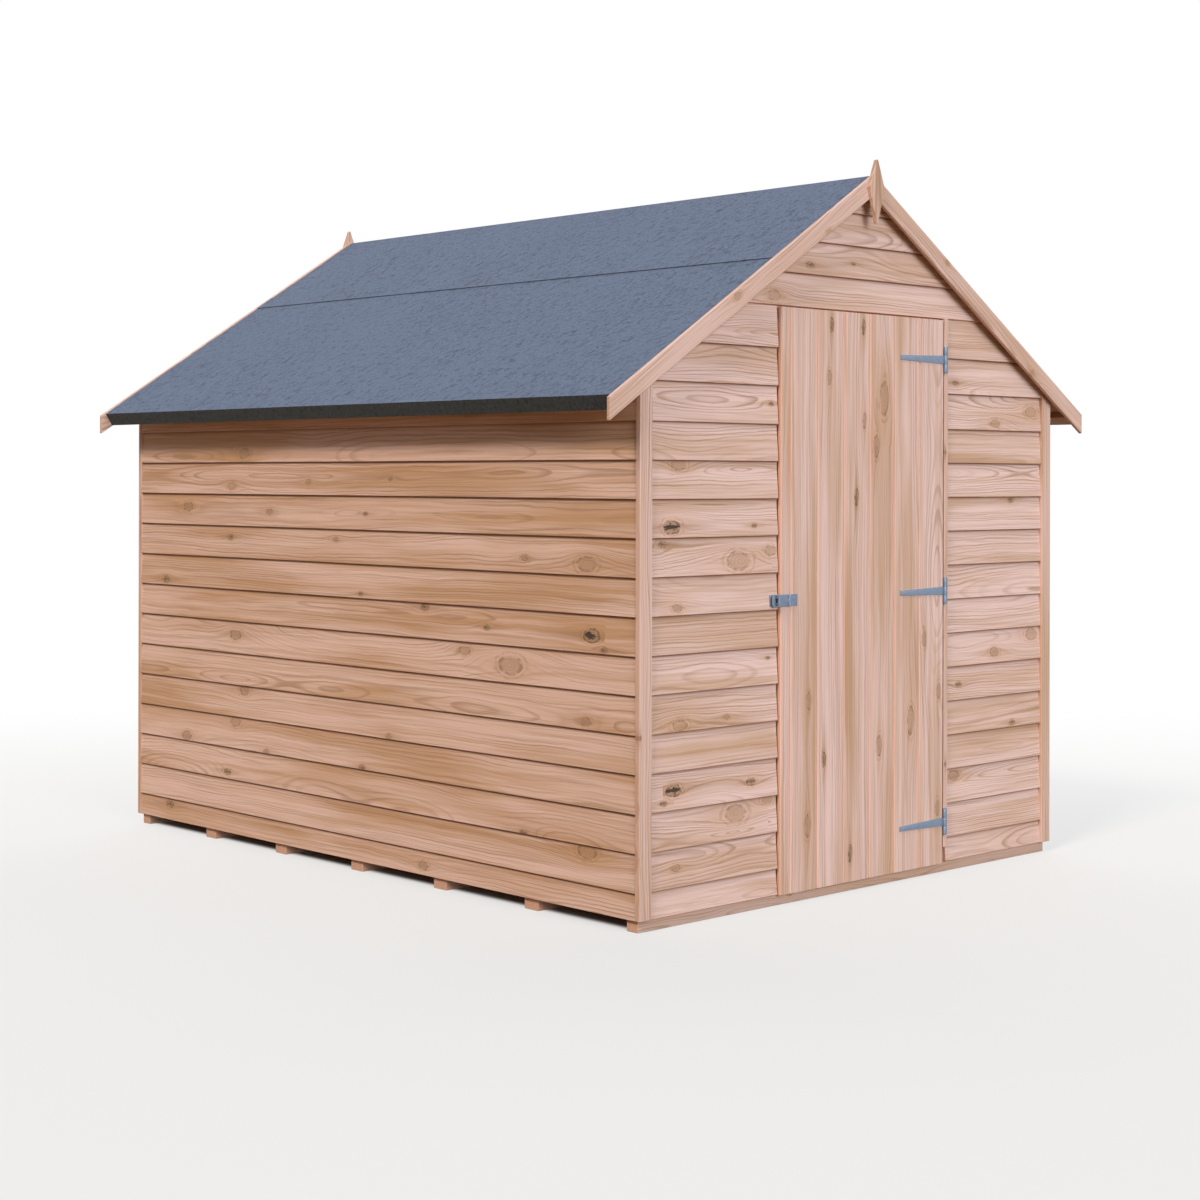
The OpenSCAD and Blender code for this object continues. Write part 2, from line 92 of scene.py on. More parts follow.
camera_data = bpy.data.cameras.new("camera")
camera_data.lens = camera_data.sensor_width * FOCAL_PIXELS / PHOTO_SIDE
camera_data.shift_y = (HORIZON_ROW - PHOTO_SIDE / 2) / PHOTO_SIDE
camera = put_in_scene("camera", camera_data)
level = Matrix.Rotation(-CAMERA_TURN, 4, "Z") @ Matrix.Rotation(math.radians(90), 4, "X")
roll = Matrix.Rotation(CAMERA_ROLL, 4, "Z")
camera.matrix_world = Matrix.Translation(CAMERA_PLACE) @ level @ roll
bpy.context.scene.camera = camera
bpy.context.scene.view_settings.view_transform = "Standard"
print("lens", round(camera_data.lens, 1), "mm, shift", round(camera_data.shift_y, 3))

# %% [markdown]
# ## Shader maths as Python
# A wood finish needs a few dozen small sums, and drawing each one as a node by hand is hard to
# read. This class wraps one socket: adding or multiplying two wires adds the Math node that does
# it. Vectors go through Vector Math and colours through Mix, because a Math node would turn a
# colour grey.


# %% A wire in a node tree
class Wire:
    """A socket of a node tree, on which Python's operators add nodes."""

    def __init__(self, tree, socket=None):
        self.tree = tree
        self.socket = socket

    def node(self, kind, settings=None, inputs=None, output=0):
        """Adds a node: first its settings, then the values or links of its sockets."""
        node = self.tree.nodes.new("ShaderNode" + kind)
        for name, value in (settings or {}).items():
            setattr(node, name, value)
        for name, value in (inputs or {}).items():
            if isinstance(value, Wire):
                self.tree.links.new(value.socket, node.inputs[name])
            else:
                node.inputs[name].default_value = value
        return Wire(self.tree, node.outputs[output]) if node.outputs else node

    def math(self, operation, *values):
        """One Math node on numbers."""
        return self.node("Math", {"operation": operation}, dict(enumerate(values)))

    def __add__(self, other):
        return self.math("ADD", self, other)

    def __sub__(self, other):
        return self.math("SUBTRACT", self, other)

    def __rsub__(self, other):
        return self.math("SUBTRACT", other, self)

    def __mul__(self, other):
        return self.math("MULTIPLY", self, other)

    def __truediv__(self, other):
        return self.math("DIVIDE", self, other)

    def __rtruediv__(self, other):
        return self.math("DIVIDE", other, self)

    __radd__ = __add__
    __rmul__ = __mul__

    def parts(self):
        """The three numbers of a vector."""
        split = self.node("SeparateXYZ", None, {0: self}).socket.node
        return [Wire(self.tree, out) for out in split.outputs]

    def attribute(self, name):
        """A vector that the mesh carries at its corners."""
        return self.node("Attribute", {"attribute_name": name}, None, "Vector")

    def cloud(self, x, y, z, detail=2.0):
        """Soft noise at a point, from 0 to 1 and mostly near a half."""
        point = self.node("CombineXYZ", None, {0: x, 1: y, 2: z})
        return self.node("TexNoise", None, {"Vector": point, "Scale": 1.0, "Detail": detail})

    def sway(self, x, y, z, amount, detail=2.0):
        """The same noise, centred on nought and spread over this amount."""
        return (self.cloud(x, y, z, detail) - 0.5) * amount

    def ramp(self, value, low, high):
        """0 below low, 1 above high, and a soft rise between."""
        settings = {"interpolation_type": "SMOOTHSTEP"}
        limits = {"From Min": low, "From Max": high}
        return self.node("MapRange", settings, {"Value": value, **limits})

    def mix(self, factor, first, second):
        """From the first colour at factor 0 to the second at 1."""
        return self.node("Mix", {"data_type": "RGBA"}, {0: factor, 6: first, 7: second}, 2)


print("wire operators: + - * / and their reflected forms")

# %% [markdown]
# ## Starting and ending a finish
# A new material in Blender comes with a plain grey surface. Every finish here starts from an
# empty tree instead, so that nothing unused is left in it. Those of the shed end in one
# Principled surface, which other programs can read too.


# %% Start and end a finish
def start_finish(name):
    """A new material with an empty node tree, and the wire to build it with."""
    material = bpy.data.materials.new(name)
    material.use_nodes = True
    material.node_tree.nodes.clear()
    return material, Wire(material.node_tree)


def surface(pen, inputs):
    """Ends a finish with one Principled surface."""
    shader = pen.node("BsdfPrincipled", None, inputs)
    pen.node("OutputMaterial", None, {"Surface": shader})


print("finishes so far:", len(bpy.data.materials))

# %% [markdown]
# ## Sky
# A product picture has a white background. Were the sky itself that bright, it would wash the
# shed out, so it is white only to rays that show it to the lens, directly or in metal. All other
# rays meet a dim, slightly warm sky that fills the shadows.

# %% Hang the sky
SKY_LIGHT = 0.13
SKY_COLOUR = (1.0, 0.98, 0.95, 1.0)
WHITE = (1.0, 1.0, 1.0, 1.0)
LENS_RAYS = ("Camera", "Glossy", "Transmission")


def seen_by_lens(pen):
    """1 for rays that show the background to the lens, directly or in metal."""
    path = pen.node("LightPath").socket.node
    rays = [Wire(pen.tree, path.outputs["Is " + kind + " Ray"]) for kind in LENS_RAYS]
    return pen.math("MAXIMUM", rays[0], pen.math("MAXIMUM", rays[1], rays[2]))


world = bpy.data.worlds.new("sky")
bpy.context.scene.world = world
world.use_nodes = True
world.node_tree.nodes.clear()
sky = Wire(world.node_tree)
fill = sky.node("Background", None, {"Color": SKY_COLOUR, "Strength": SKY_LIGHT})
white = sky.node("Background", None, {"Color": WHITE, "Strength": 1.0})
shown = sky.node("MixShader", None, {0: seen_by_lens(sky), 1: fill, 2: white})
sky.node("OutputWorld", None, {"Surface": shown})
print("sky light", SKY_LIGHT)

# %% [markdown]
# ## Lamps
# A broad sun lights the front, a warmer and steeper one lights the long side and draws a shadow
# under each board, and a very soft one fills the back. Area lamps would do as well, but a sun
# gives the same light all over a thing as large as a shed. A sun's width in degrees sets how soft
# its shadows are.

# %% Hang the lamps
LAMPS = {
    "front_sun": {
        "towards": (0.15, 0.93, -0.28),
        "strength": 2.30,
        "colour": (1.0, 0.98, 0.965),
        "width": 35,
    },
    "side_sun": {
        "towards": (0.70, 0.18, -0.66),
        "strength": 2.15,
        "colour": (1.0, 0.86, 0.69),
        "width": 14,
    },
    "back_fill": {
        "towards": (-0.55, -0.62, -0.56),
        "strength": 1.70,
        "colour": (1.0, 0.96, 0.92),
        "width": 70,
    },
}
for name, sun in LAMPS.items():
    lamp_data = bpy.data.lights.new(name, "SUN")
    lamp_data.energy = sun["strength"]
    lamp_data.color = sun["colour"]
    lamp_data.angle = math.radians(sun["width"])
    lamp = put_in_scene(name, lamp_data)
    lamp.rotation_euler = Vector(sun["towards"]).to_track_quat("-Z", "Y").to_euler()
print("lamps:", [lamp.name for lamp in bpy.data.lights])

# %% [markdown]
# ## Floor
# The floor is a pale sweep with no edge that shows: away from the lens it fades into white. It
# too looks white to the lens only. What it throws back at the shed is the warm, low light of dry
# ground, and that keeps the shadows under the boards brown. Under the shed the white is switched
# off, so that the gaps between the bearers stay dark.

# %% Lay the floor
FLOOR_REACH = 60.0
FLOOR_SIDES = 96
FADE_CENTRE = (-4.8, -5.1, 0.0)
FADE_START = 6.0
FADE_END = 11.5
NEAR_WHITE = 0.60
UNDER_SOFT = 0.05
FLOOR_GREY = (0.62, 0.65, 0.69, 1.0)
FLOOR_BOUNCE = (0.235, 0.138, 0.058, 1.0)

floor_mesh = bpy.data.meshes.new("floor")
floor_shape = bmesh.new()
bmesh.ops.create_circle(floor_shape, cap_ends=True, segments=FLOOR_SIDES, radius=FLOOR_REACH)
floor_shape.to_mesh(floor_mesh)
floor_shape.free()
floor = put_in_scene("floor", floor_mesh)
floor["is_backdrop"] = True
print("floor reaches", FLOOR_REACH, "m")

# %% Floor finish
floor_finish, pen = start_finish("pale_floor")
place = pen.node("TexCoord", None, None, "Object")
from_lens = pen.node("VectorMath", {"operation": "DISTANCE"}, {0: place, 1: FADE_CENTRE}, "Value")
whiten = pen.ramp(from_lens, FADE_START, FADE_END) * (1 - NEAR_WHITE) + NEAR_WHITE
shed_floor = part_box("floor_boards")[1]
across, along, _ = place.parts()
beside = pen.ramp(pen.math("ABSOLUTE", across), shed_floor.x - UNDER_SOFT, shed_floor.x)
beyond = pen.ramp(pen.math("ABSOLUTE", along), shed_floor.y - UNDER_SOFT, shed_floor.y)
whiten = whiten * pen.math("MAXIMUM", beside, beyond)
by_lens = seen_by_lens(pen)
matt = pen.node("BsdfDiffuse", None, {"Color": pen.mix(by_lens, FLOOR_BOUNCE, FLOOR_GREY)})
glow = pen.node("Emission", None, {"Color": WHITE, "Strength": 1.0})
shown = pen.node("MixShader", None, {0: whiten * by_lens, 1: matt, 2: glow})
pen.node("OutputMaterial", None, {"Surface": shown})
floor_mesh.materials.append(floor_finish)
print("floor fades to white from", FADE_START, "to", FADE_END, "m")

# %% [markdown]
# ## The wood
# The shed is pale pinkish softwood, sawn from a log: the lines on a board are the log's rings,
# cut at a slant. A ready wood texture draws bands that know nothing of the log. Here the finish
# works out how far each point of a board is from the log's pith, and a line is drawn where a ring
# ends. Each board carries a few vectors at its corners that the finish reads:
# `grain` is the place on the board (along, across, out). `log` is the board's tone, from 0 to 1,
# and where the pith lies. `knot_before` and `knot_after` are the place measured from the nearest
# knot on either hand, with that knot's radius, and `knot_dark` says how dark the two knots are.
# `edge` says whether a face is a sawn edge, and how far below the next board's lap a point is.

# %% Colours of the wood
PALE_PINK = (0.735, 0.570, 0.560, 1.0)
OLIVE_TAN = (0.500, 0.330, 0.220, 1.0)
# Long side walls: the board colours made warmer and browner, a painted tint for the warm light on
# those sides.
SIDE_LIT_PALE = (0.770, 0.565, 0.515, 1.0)
SIDE_LIT_TAN = (0.545, 0.335, 0.210, 1.0)
TRIM_PALE = (0.680, 0.510, 0.477, 1.0)
BEARER_PALE = (0.555, 0.415, 0.372, 1.0)
SAWN_PALE = (0.640, 0.430, 0.310, 1.0)
SAWN_TAN = (0.490, 0.310, 0.200, 1.0)
RING_BROWN = (0.330, 0.195, 0.115, 1.0)
# Sawn edges: a redder colour, partly fresher wood and partly a painted highlight where edges catch
# the light.
CUT_EDGE_TINT_AND_HIGHLIGHT = (0.760, 0.430, 0.310, 1.0)
# Painted shade: the dark brown laid just under each lap, where the board above shades the one
# below.
LAP_PAINTED_SHADE = (0.155, 0.070, 0.030, 1.0)
print("walls run from", PALE_PINK[:3], "to", OLIVE_TAN[:3])

# %% [markdown]
# ## Knots
# A knot is a branch that was sawn through: a disc with rings of its own, a thin broken rim, a
# warm stain round it and a smoky tail along the grain. A dead branch leaves black cracks. A knot
# could be a plug set into the board, but planed wood is flush, so it is drawn by the finish. Its
# places are counted in the knot's own radii, u along the grain and v across it, and one drawing
# then serves every size.

# %% Rims and cracks of a knot
RIM_WIDTH = 0.20
RIM_CORE = 0.3
RIM_SOUND = 0.60
RIM_DEAD_MORE = 0.35
RIM_PATCHES = 1.6
RIM_GAPS = (0.42, 0.58)
RIM_LEAST = 0.3
SECOND_RIM = 1.5
SECOND_SHOWS = 0.24
CRACK_RAGGED = 2.6
CRACK_NARROW = (0.42, 1.3)
CRACK_EDGE = (0.30, 0.65)


def fading(pen, u, v, long, wide):
    """1 at a knot's middle, fading over so many of its radii along and across the grain."""
    u = u * (1 / long)
    v = v * (1 / wide)
    return pen.math("EXPONENT", 0 - (u * u + v * v))


def line_at(pen, value, place):
    """A thin line where a value passes a place."""
    off = pen.math("ABSOLUTE", value - place)
    return 1 - pen.ramp(off, RIM_WIDTH * RIM_CORE, RIM_WIDTH)


def knot_rims(pen, u, v, reach, dark, tone):
    """A rim at one radius and a fainter line round it, both broken here and there."""
    rim = line_at(pen, reach, 1.0) * (RIM_SOUND + dark * RIM_DEAD_MORE)
    second = line_at(pen, reach, SECOND_RIM) * SECOND_SHOWS
    patches = pen.cloud(u * RIM_PATCHES, v * RIM_PATCHES, tone * 25.0)
    return (rim + second) * (RIM_LEAST + (1 - RIM_LEAST) * pen.ramp(patches, *RIM_GAPS))


def knot_cracks(pen, u, v, dark, tone):
    """The ragged black of a dead knot, longer along the grain than across it."""
    torn = pen.sway(u * 1.2, v * 1.8, tone * 60.0, CRACK_RAGGED, 4.0)
    long, wide = CRACK_NARROW
    flare = pen.math("SQRT", u * u * long + v * v * wide) + torn
    return dark * dark * (1 - pen.ramp(flare, *CRACK_EDGE))


print("a knot's second line is at", SECOND_RIM, "radii")

# %% Draw a knot
KNOT_GLOW = (0.600, 0.350, 0.190, 1.0)
KNOT_TAN = (0.430, 0.285, 0.200, 1.0)
KNOT_BROWN = (0.180, 0.105, 0.056, 1.0)
KNOT_BLACK = (0.030, 0.020, 0.014, 1.0)
KNOT_UNEVEN = 0.7
KNOT_EDGE = (0.80, 1.0)
RINGS_IN_KNOT = 3.6
OWN_RING = (0.25, 0.90)
OWN_RING_SHOWS = 0.75
DISC_SOUND = 0.46
DISC_DEAD_MORE = 0.36
SMOKE_REACH = (4.5, 0.8)
SMOKE_SOUND = 0.14
SMOKE_DEAD_MORE = 0.36
GLOW_REACH = (2.6, 1.6)
GLOW_SHOWS = 0.38
CRACK_SHOWS = 0.95


def draw_knot(pen, colour, u, v, dark, tone):
    """Lays a knot over the wood's colour. Dark is 0 for a sound knot and 1 for a dead one."""
    uneven = pen.sway(u * 1.1, v * 1.1, tone * 40.0, KNOT_UNEVEN, 3.0)
    reach = pen.math("SQRT", u * u + v * v) + uneven
    disc = 1 - pen.ramp(reach, *KNOT_EDGE)
    own_rings = pen.ramp(pen.math("FRACT", reach * RINGS_IN_KNOT), *OWN_RING)
    heart = pen.mix(own_rings * OWN_RING_SHOWS, KNOT_TAN, KNOT_BROWN)
    smoke = fading(pen, u, v, *SMOKE_REACH) * (SMOKE_SOUND + dark * SMOKE_DEAD_MORE)
    colour = pen.mix(smoke, colour, KNOT_BROWN)
    colour = pen.mix(fading(pen, u, v, *GLOW_REACH) * GLOW_SHOWS, colour, KNOT_GLOW)
    colour = pen.mix(disc * (DISC_SOUND + dark * DISC_DEAD_MORE), colour, heart)
    colour = pen.mix(knot_rims(pen, u, v, reach, dark, tone), colour, KNOT_BROWN)
    return pen.mix(knot_cracks(pen, u, v, dark, tone) * CRACK_SHOWS, colour, KNOT_BLACK)


print("a knot has", RINGS_IN_KNOT, "rings of its own")

# %% [markdown]
# ## Rings
# Along a board the rings wander a little, and close to a knot they swing round it and rise
# towards it, which draws the long eyes that knots sit in. The dark line of a ring is its late
# wood: it comes on slowly and ends sharply. Some rings are strong and some faint, and the fibres
# break each line up. Noise is read at a place that depends on the board's tone and on its own
# shift along the grain, so that no two boards look alike. The factors on along and across say
# how many clouds there are in a metre, and the factor on the tone keeps the noises apart.

# %% Rings round the knots
MM = 1000
WAVE = 0.040
RIPPLE = 0.010
SWING_REACH = (2.6, 1.7)
RISE_REACH = (4.2, 2.3)
RISE_HEIGHT = 1.3


def flow_round_knots(pen, along, across, tone, stretch):
    """Where a ring lies across the board, how far it rises at the knots, and for each of the two
    knots its u, its v and how dark it is. Stretch is how much longer than wide a knot is."""
    dark_before, dark_after, _ = pen.attribute("knot_dark").parts()
    wave = pen.sway(along * 0.9, across * 4.0, tone * 50.0, WAVE)
    ripple = pen.sway(along * 9.0, across * 30.0, tone * 31.0, RIPPLE, 3.0)
    flowing = across + wave + ripple
    raised = 0.0
    knots = []
    for label, dark in (("knot_before", dark_before), ("knot_after", dark_after)):
        knot_along, knot_across, radius = pen.attribute(label).parts()
        u = knot_along / (radius * stretch)
        v = knot_across / radius
        flowing = flowing - knot_across * fading(pen, u, v, *SWING_REACH)
        raised = raised + radius * RISE_HEIGHT * fading(pen, u, v, *RISE_REACH)
        knots.append((u, v, dark))
    return flowing, raised, knots


print("rings wander over a band of", WAVE * MM, "mm")

# %% Lines of late wood
RING_UNEVEN = 2.2
RING_CLOSEST = 0.65
RING_SPREAD = 0.8
LATE_START = (0.45, 0.86)
LATE_END = (0.88, 1.0)
STRONG_RINGS = (0.38, 0.62)
FAINTEST = 0.15
FIBRE_GAPS = (0.25, 0.60)
LEAST_IN_GAPS = 0.55


def ring_lines(pen, from_pith, along, tone, fibre, ring):
    """1 on the late wood of a strong ring, and 0 between the rings."""
    uneven = pen.sway(from_pith * 60.0, along * 0.5, tone * 30.0, RING_UNEVEN)
    rings = from_pith / (ring * (RING_CLOSEST + RING_SPREAD * tone)) + uneven
    part = pen.math("FRACT", rings)
    late = pen.ramp(part, *LATE_START) * (1 - pen.ramp(part, *LATE_END))
    strong = pen.ramp(pen.cloud(rings * 0.3, tone * 17.0, along * 1.1), *STRONG_RINGS)
    strong = FAINTEST + (1 - FAINTEST) * strong
    whole = LEAST_IN_GAPS + (1 - LEAST_IN_GAPS) * pen.ramp(fibre, *FIBRE_GAPS)
    return late * strong * whole


print("late wood starts at", LATE_START[0], "of a ring")

# %% [markdown]
# ## Wood finish
# The colour is built up as it is in the tree: a pale ground, broad darker bands and fine streaks
# along the grain, ring lines, fibres and threads, and then the knots. The sawn edges of a board
# are made redder than its face, partly fresher wood and partly a painted highlight where the edges
# catch the light, and a band just under each lap is darkened, which is painted shade from the
# board above. The same recipe serves all the timber, with other colours and strengths.

# %% Wood finish
PITH_DRIFT = 0.15
TONE_SPREAD = 0.24
BROAD_SHARE = 0.7
STREAK_SHARE = 0.5
FIBRE_SHOWS = 0.30
THREAD_SHOWS = 0.36
# The painted shade under each lap: how dark it is and how far below the lap it reaches.
LAP_SHADE_SHOWS = 0.75
LAP_SHADE_REACH = 0.011


def wood_finish(name, pale, band, ring=0.008, bands=0.75, drawn=0.75, stretch=1.75, edge_tint_and_highlight=0.65):
    """Softwood with rings this far apart. Bands and drawn are how strongly bands and rings show,
    stretch is how long the knots are, and edge_tint_and_highlight is how strongly sawn edges take
    the redder edge colour, partly fresher wood and partly a painted highlight."""
    material, pen = start_finish(name)
    along, across, depth = pen.attribute("grain").parts()
    tone, pith_across, pith_depth = pen.attribute("log").parts()
    sawn_edge, under_lap, _ = pen.attribute("edge").parts()

    flowing, raised, knots = flow_round_knots(pen, along, across, tone, stretch)
    drift = pen.sway(along * 1.3, tone * 70.0, 3.0, PITH_DRIFT, 1.0)
    beside = flowing - pith_across
    below = pith_depth + drift - depth
    from_pith = pen.math("SQRT", beside * beside + below * below) + raised
    fibre = pen.cloud(along * 6.0, across * 420.0, depth * 420.0, 3.0)
    lines = ring_lines(pen, from_pith, along, tone, fibre, ring)
    streak = pen.ramp(pen.cloud(along * 0.9, flowing * 75.0, tone * 11.0, 3.0), 0.42, 0.70)
    broad = pen.ramp(pen.cloud(along * 1.1, flowing * 11.0, tone * 23.0, 3.0), 0.42, 0.66)
    thread = pen.ramp(pen.cloud(along * 2.5, flowing * 230.0, tone * 7.0), 0.50, 0.72)

    banded = (broad * BROAD_SHARE + streak * STREAK_SHARE) * bands
    colour = pen.mix(banded + (tone - 0.5) * TONE_SPREAD, pale, band)
    colour = pen.mix(lines * drawn, colour, RING_BROWN)
    colour = pen.mix(pen.ramp(fibre, 0.48, 0.75) * FIBRE_SHOWS, colour, band)
    colour = pen.mix(thread * THREAD_SHOWS, colour, RING_BROWN)
    for u, v, dark in knots:
        colour = draw_knot(pen, colour, u, v, dark, tone)
    # Sawn edges take the redder colour: partly fresher wood, partly a painted highlight on the
    # edges.
    colour = pen.mix(sawn_edge * edge_tint_and_highlight, colour, CUT_EDGE_TINT_AND_HIGHLIGHT)
    # Painted shade: a dark band just under each lap, where the board above shades the one below.
    lap_shade = LAP_SHADE_SHOWS - pen.ramp(under_lap, 0.0, LAP_SHADE_REACH) * LAP_SHADE_SHOWS
    colour = pen.mix(lap_shade, colour, LAP_PAINTED_SHADE)

    height = lines * 0.5 + fibre * 0.5
    bump = pen.node("Bump", None, {"Strength": 0.35, "Distance": 0.0012, "Height": height})
    finish = {"Base Color": colour, "Roughness": fibre * 0.25 + 0.50, "Normal": bump}
    surface(pen, {**finish, "Specular IOR Level": 0.3})
    return material


print("dust reaches", LAP_SHADE_REACH, "m below a lap")

# %% The wood of each piece
board_wood = wood_finish("lapped_board_wood", PALE_PINK, OLIVE_TAN)
# The side walls get their own warmer copy of the board wood: painted warm side light.
side_lit_wood = wood_finish("side_lit_board_wood", SIDE_LIT_PALE, SIDE_LIT_TAN, 0.009, 1.05, 0.65)
door_wood = wood_finish("door_board_wood", PALE_PINK, OLIVE_TAN, 0.009, 0.80, 0.55, 2.6, 0.70)
trim_wood = wood_finish("planed_trim_wood", TRIM_PALE, OLIVE_TAN, 0.009, 0.70, 0.80, 1.25, 0.25)
bearer_wood = wood_finish("sawn_bearer_wood", BEARER_PALE, OLIVE_TAN, 0.009, 0.60, 0.60, 1.25, 0.50)
framing_wood = wood_finish("sawn_framing_wood", SAWN_PALE, SAWN_TAN, 0.008, 0.60, 0.80, 1.25, 0.20)
print("wood finishes:", [m.name for m in bpy.data.materials if "wood" in m.name])

# %% [markdown]
# ## Boards and their knots
# A box with a wood pattern on it looks like a box. Here every board is its own shape, drawn lying
# down in its own axes (along, across, out) and then set in its place. Where no knots are listed
# they are scattered, by a random choice that is the same on every run, because it
# starts from a fixed seed.

# %% Axes and knots
SOUND, RINGED, DARK, BROKEN = 0.0, 0.3, 0.75, 1.0
SMALLEST_KNOT = 0.005
LARGE_FROM = 0.3
LUCK_SEED = 21
luck = random.Random(LUCK_SEED)


def axes_at(origin, along, across):
    """The place of a board: its own axes, with out square to along and across."""
    along = Vector(along).normalized()
    across = Vector(across).normalized()
    turned = Matrix((along, across, along.cross(across))).transposed().to_4x4()
    return Matrix.Translation(Vector(origin)) @ turned


def scattered_knots(start, end, low, high, every=1.0, biggest=0.020):
    """Knots along a board as (along, across, radius, kind): many small dark ones, a few large
    sound ones, and one in about every so many metres."""
    knots = []
    place = start + luck.uniform(0.1, 0.9) * every
    while place < end:
        size = luck.random() ** 2
        radius = SMALLEST_KNOT + size * (biggest - SMALLEST_KNOT)
        kinds = (SOUND, SOUND, RINGED) if size > LARGE_FROM else (RINGED, DARK, DARK)
        kind = luck.choice(kinds)
        knots.append((place, luck.uniform(low, high), radius, kind))
        place += every * luck.uniform(0.5, 1.7)
    return knots


print("kinds of knot:", SOUND, RINGED, DARK, BROKEN)

# %% [markdown]
# ## Timber that remembers its log
# All the boards of one wall become one mesh, which keeps the scene short, but each corner still
# has to know its own board. So a stack collects the boards one by one. It cuts each of them into
# lengths at its knots, so that a length knows the knot at either end, and draws its place in a
# log by luck. At the end the lists become the mesh's attributes.


# %% A piece of the shed
def dress(name, mesh, body, nodes):
    """Makes a mesh a piece that rides a body and stands for these nodes."""
    piece = put_in_scene(name, mesh)
    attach(piece, body)
    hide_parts(*nodes)
    print(name, "faces:", len(mesh.polygons))


def cut_across(shape, point, normal, clear_outer=False):
    """Cuts a shape along a plane and gives back the edges of the cut."""
    whole = shape.verts[:] + shape.edges[:] + shape.faces[:]
    cut = bmesh.ops.bisect_plane(
        shape, geom=whole, plane_co=point, plane_no=normal, clear_outer=clear_outer
    )
    return [e for e in cut["geom_cut"] if isinstance(e, bmesh.types.BMEdge)]


# %% A stack of boards
NO_KNOT = (-9.0, -9.0, 0.01, SOUND)
NO_LAP = 9.0
SAWN_SLANT = 0.9
GRAIN_ALONG = 90
GRAIN_ACROSS = 9
PITH_ACROSS = (-0.05, 0.15)
PITH_DEPTH = (-0.07, 0.02)


class Stack:
    """Boards that become one mesh, with what each corner knows of its own board."""

    def __init__(self):
        self.points = []
        self.faces = []
        labels = ("grain", "knot_before", "knot_after", "knot_dark", "edge", "log")
        self.known = {label: [] for label in labels}

    def add(self, shape, axes, knots=(), lap=NO_LAP):
        """Takes a board's shape, drawn in its own axes, cuts it at its knots and sets it in
        place. Lap is how far up the board the next one hangs over it."""
        knots = sorted(knots)
        for knot in knots:
            cut_across(shape, (knot[0], 0, 0), (1, 0, 0))
        bmesh.ops.recalc_face_normals(shape, faces=shape.faces)
        shift = Vector((luck.uniform(0, GRAIN_ALONG), luck.uniform(0, GRAIN_ACROSS), 0))
        tone = luck.random()
        log = (tone, shift.y + luck.uniform(*PITH_ACROSS), luck.uniform(*PITH_DEPTH))
        first = len(self.points)
        shape.verts.index_update()
        self.points += [axes @ v.co for v in shape.verts]
        for face in shape.faces:
            self.faces.append([first + v.index for v in face.verts])
            middle = face.calc_center_median().x
            passed = sum(knot[0] < middle for knot in knots)
            before, after = ([NO_KNOT] + knots + [NO_KNOT])[passed:passed + 2]
            sawn_edge = float(abs(face.normal.z) < SAWN_SLANT)
            for vert in face.verts:
                along, across, _ = vert.co
                self.known["grain"] += list(vert.co + shift)
                self.known["knot_before"] += [along - before[0], across - before[1], before[2]]
                self.known["knot_after"] += [along - after[0], across - after[1], after[2]]
                self.known["knot_dark"] += [before[3], after[3], 0.0]
                self.known["edge"] += [sawn_edge, lap - across, 0.0]
                self.known["log"] += log
        shape.free()

    def make(self, name, material, body, slot, *nodes):
        """Builds the mesh, lets it ride its body and stand for the frame's nodes."""
        mesh = bpy.data.meshes.new(name)
        mesh.from_pydata(self.points, [], self.faces)
        for label, values in self.known.items():
            vectors = mesh.attributes.new(label, "FLOAT_VECTOR", "CORNER")
            vectors.data.foreach_set("vector", values)
        mesh.materials.append(material)
        dress(name, mesh, body, nodes)


print("each corner knows:", list(Stack().known))

# %% [markdown]
# ## A sawn board
# A board is one section drawn out along its length. A scaled cube would have razor edges, and no
# real board has: the saw and the plane leave a small flat on each edge, which catches the light.
# So every corner of the section is taken off, the two ends are drawn in a little, and a long
# board may stray from straight by a fraction of a millimetre. Sloping ends are cut afterwards.

# %% Shape of a board
EASE = 0.0015
EASE_MOST = 0.3
STRAY_PER_METRE = 1.1
SWELL_PER_METRE = 1.7


def eased(section, ease):
    """A section with each corner taken off, by at most a share of each side that meets it."""
    points = []
    for i, here in enumerate(section):
        here = Vector(here)
        for other in (section[i - 1], section[(i + 1) % len(section)]):
            side = Vector(other) - here
            points.append(here + side * min(ease / side.length, EASE_MOST))
    return points


def board_shape(section, start, end, cuts=(), steps=1, ease=EASE, bow=0.0):
    """A length of timber with that section, drawn as (across, out), and its ends eased too.
    A cut is (point, outward direction) in (along, across). Bow is how far it strays."""
    shape = bmesh.new()
    outline = eased(section, ease)
    middle = sum(outline, Vector((0, 0))) / len(outline)
    length = end - start - 2 * ease
    stations = [start + ease + length * i / steps for i in range(steps + 1)]
    stations = [start] + stations + [end]
    seed = luck.uniform(0, 90)
    loops = []
    for i, along in enumerate(stations):
        at_end = i in (0, len(stations) - 1)
        stray = bow * noise.noise(Vector((along * STRAY_PER_METRE, seed, 0.0)))
        swell = bow * noise.noise(Vector((along * SWELL_PER_METRE, seed, 5.0)))
        loop = []
        for point in outline:
            inward = (middle - point).normalized() * ease if at_end else Vector((0, 0))
            across = point.x + inward.x + stray
            loop.append(shape.verts.new((along, across, point.y + inward.y + swell)))
        loops.append(loop)
    for first, second in zip(loops, loops[1:]):
        for i in range(len(outline)):
            shape.faces.new((first[i - 1], first[i], second[i], second[i - 1]))
    shape.faces.new(loops[0])
    shape.faces.new(loops[-1])
    for point, outward in cuts:
        rim = cut_across(shape, (*point, 0), (*outward, 0), clear_outer=True)
        if rim:
            bmesh.ops.contextual_create(shape, geom=rim)
    return shape


print("edges are eased by", EASE * MM, "mm")

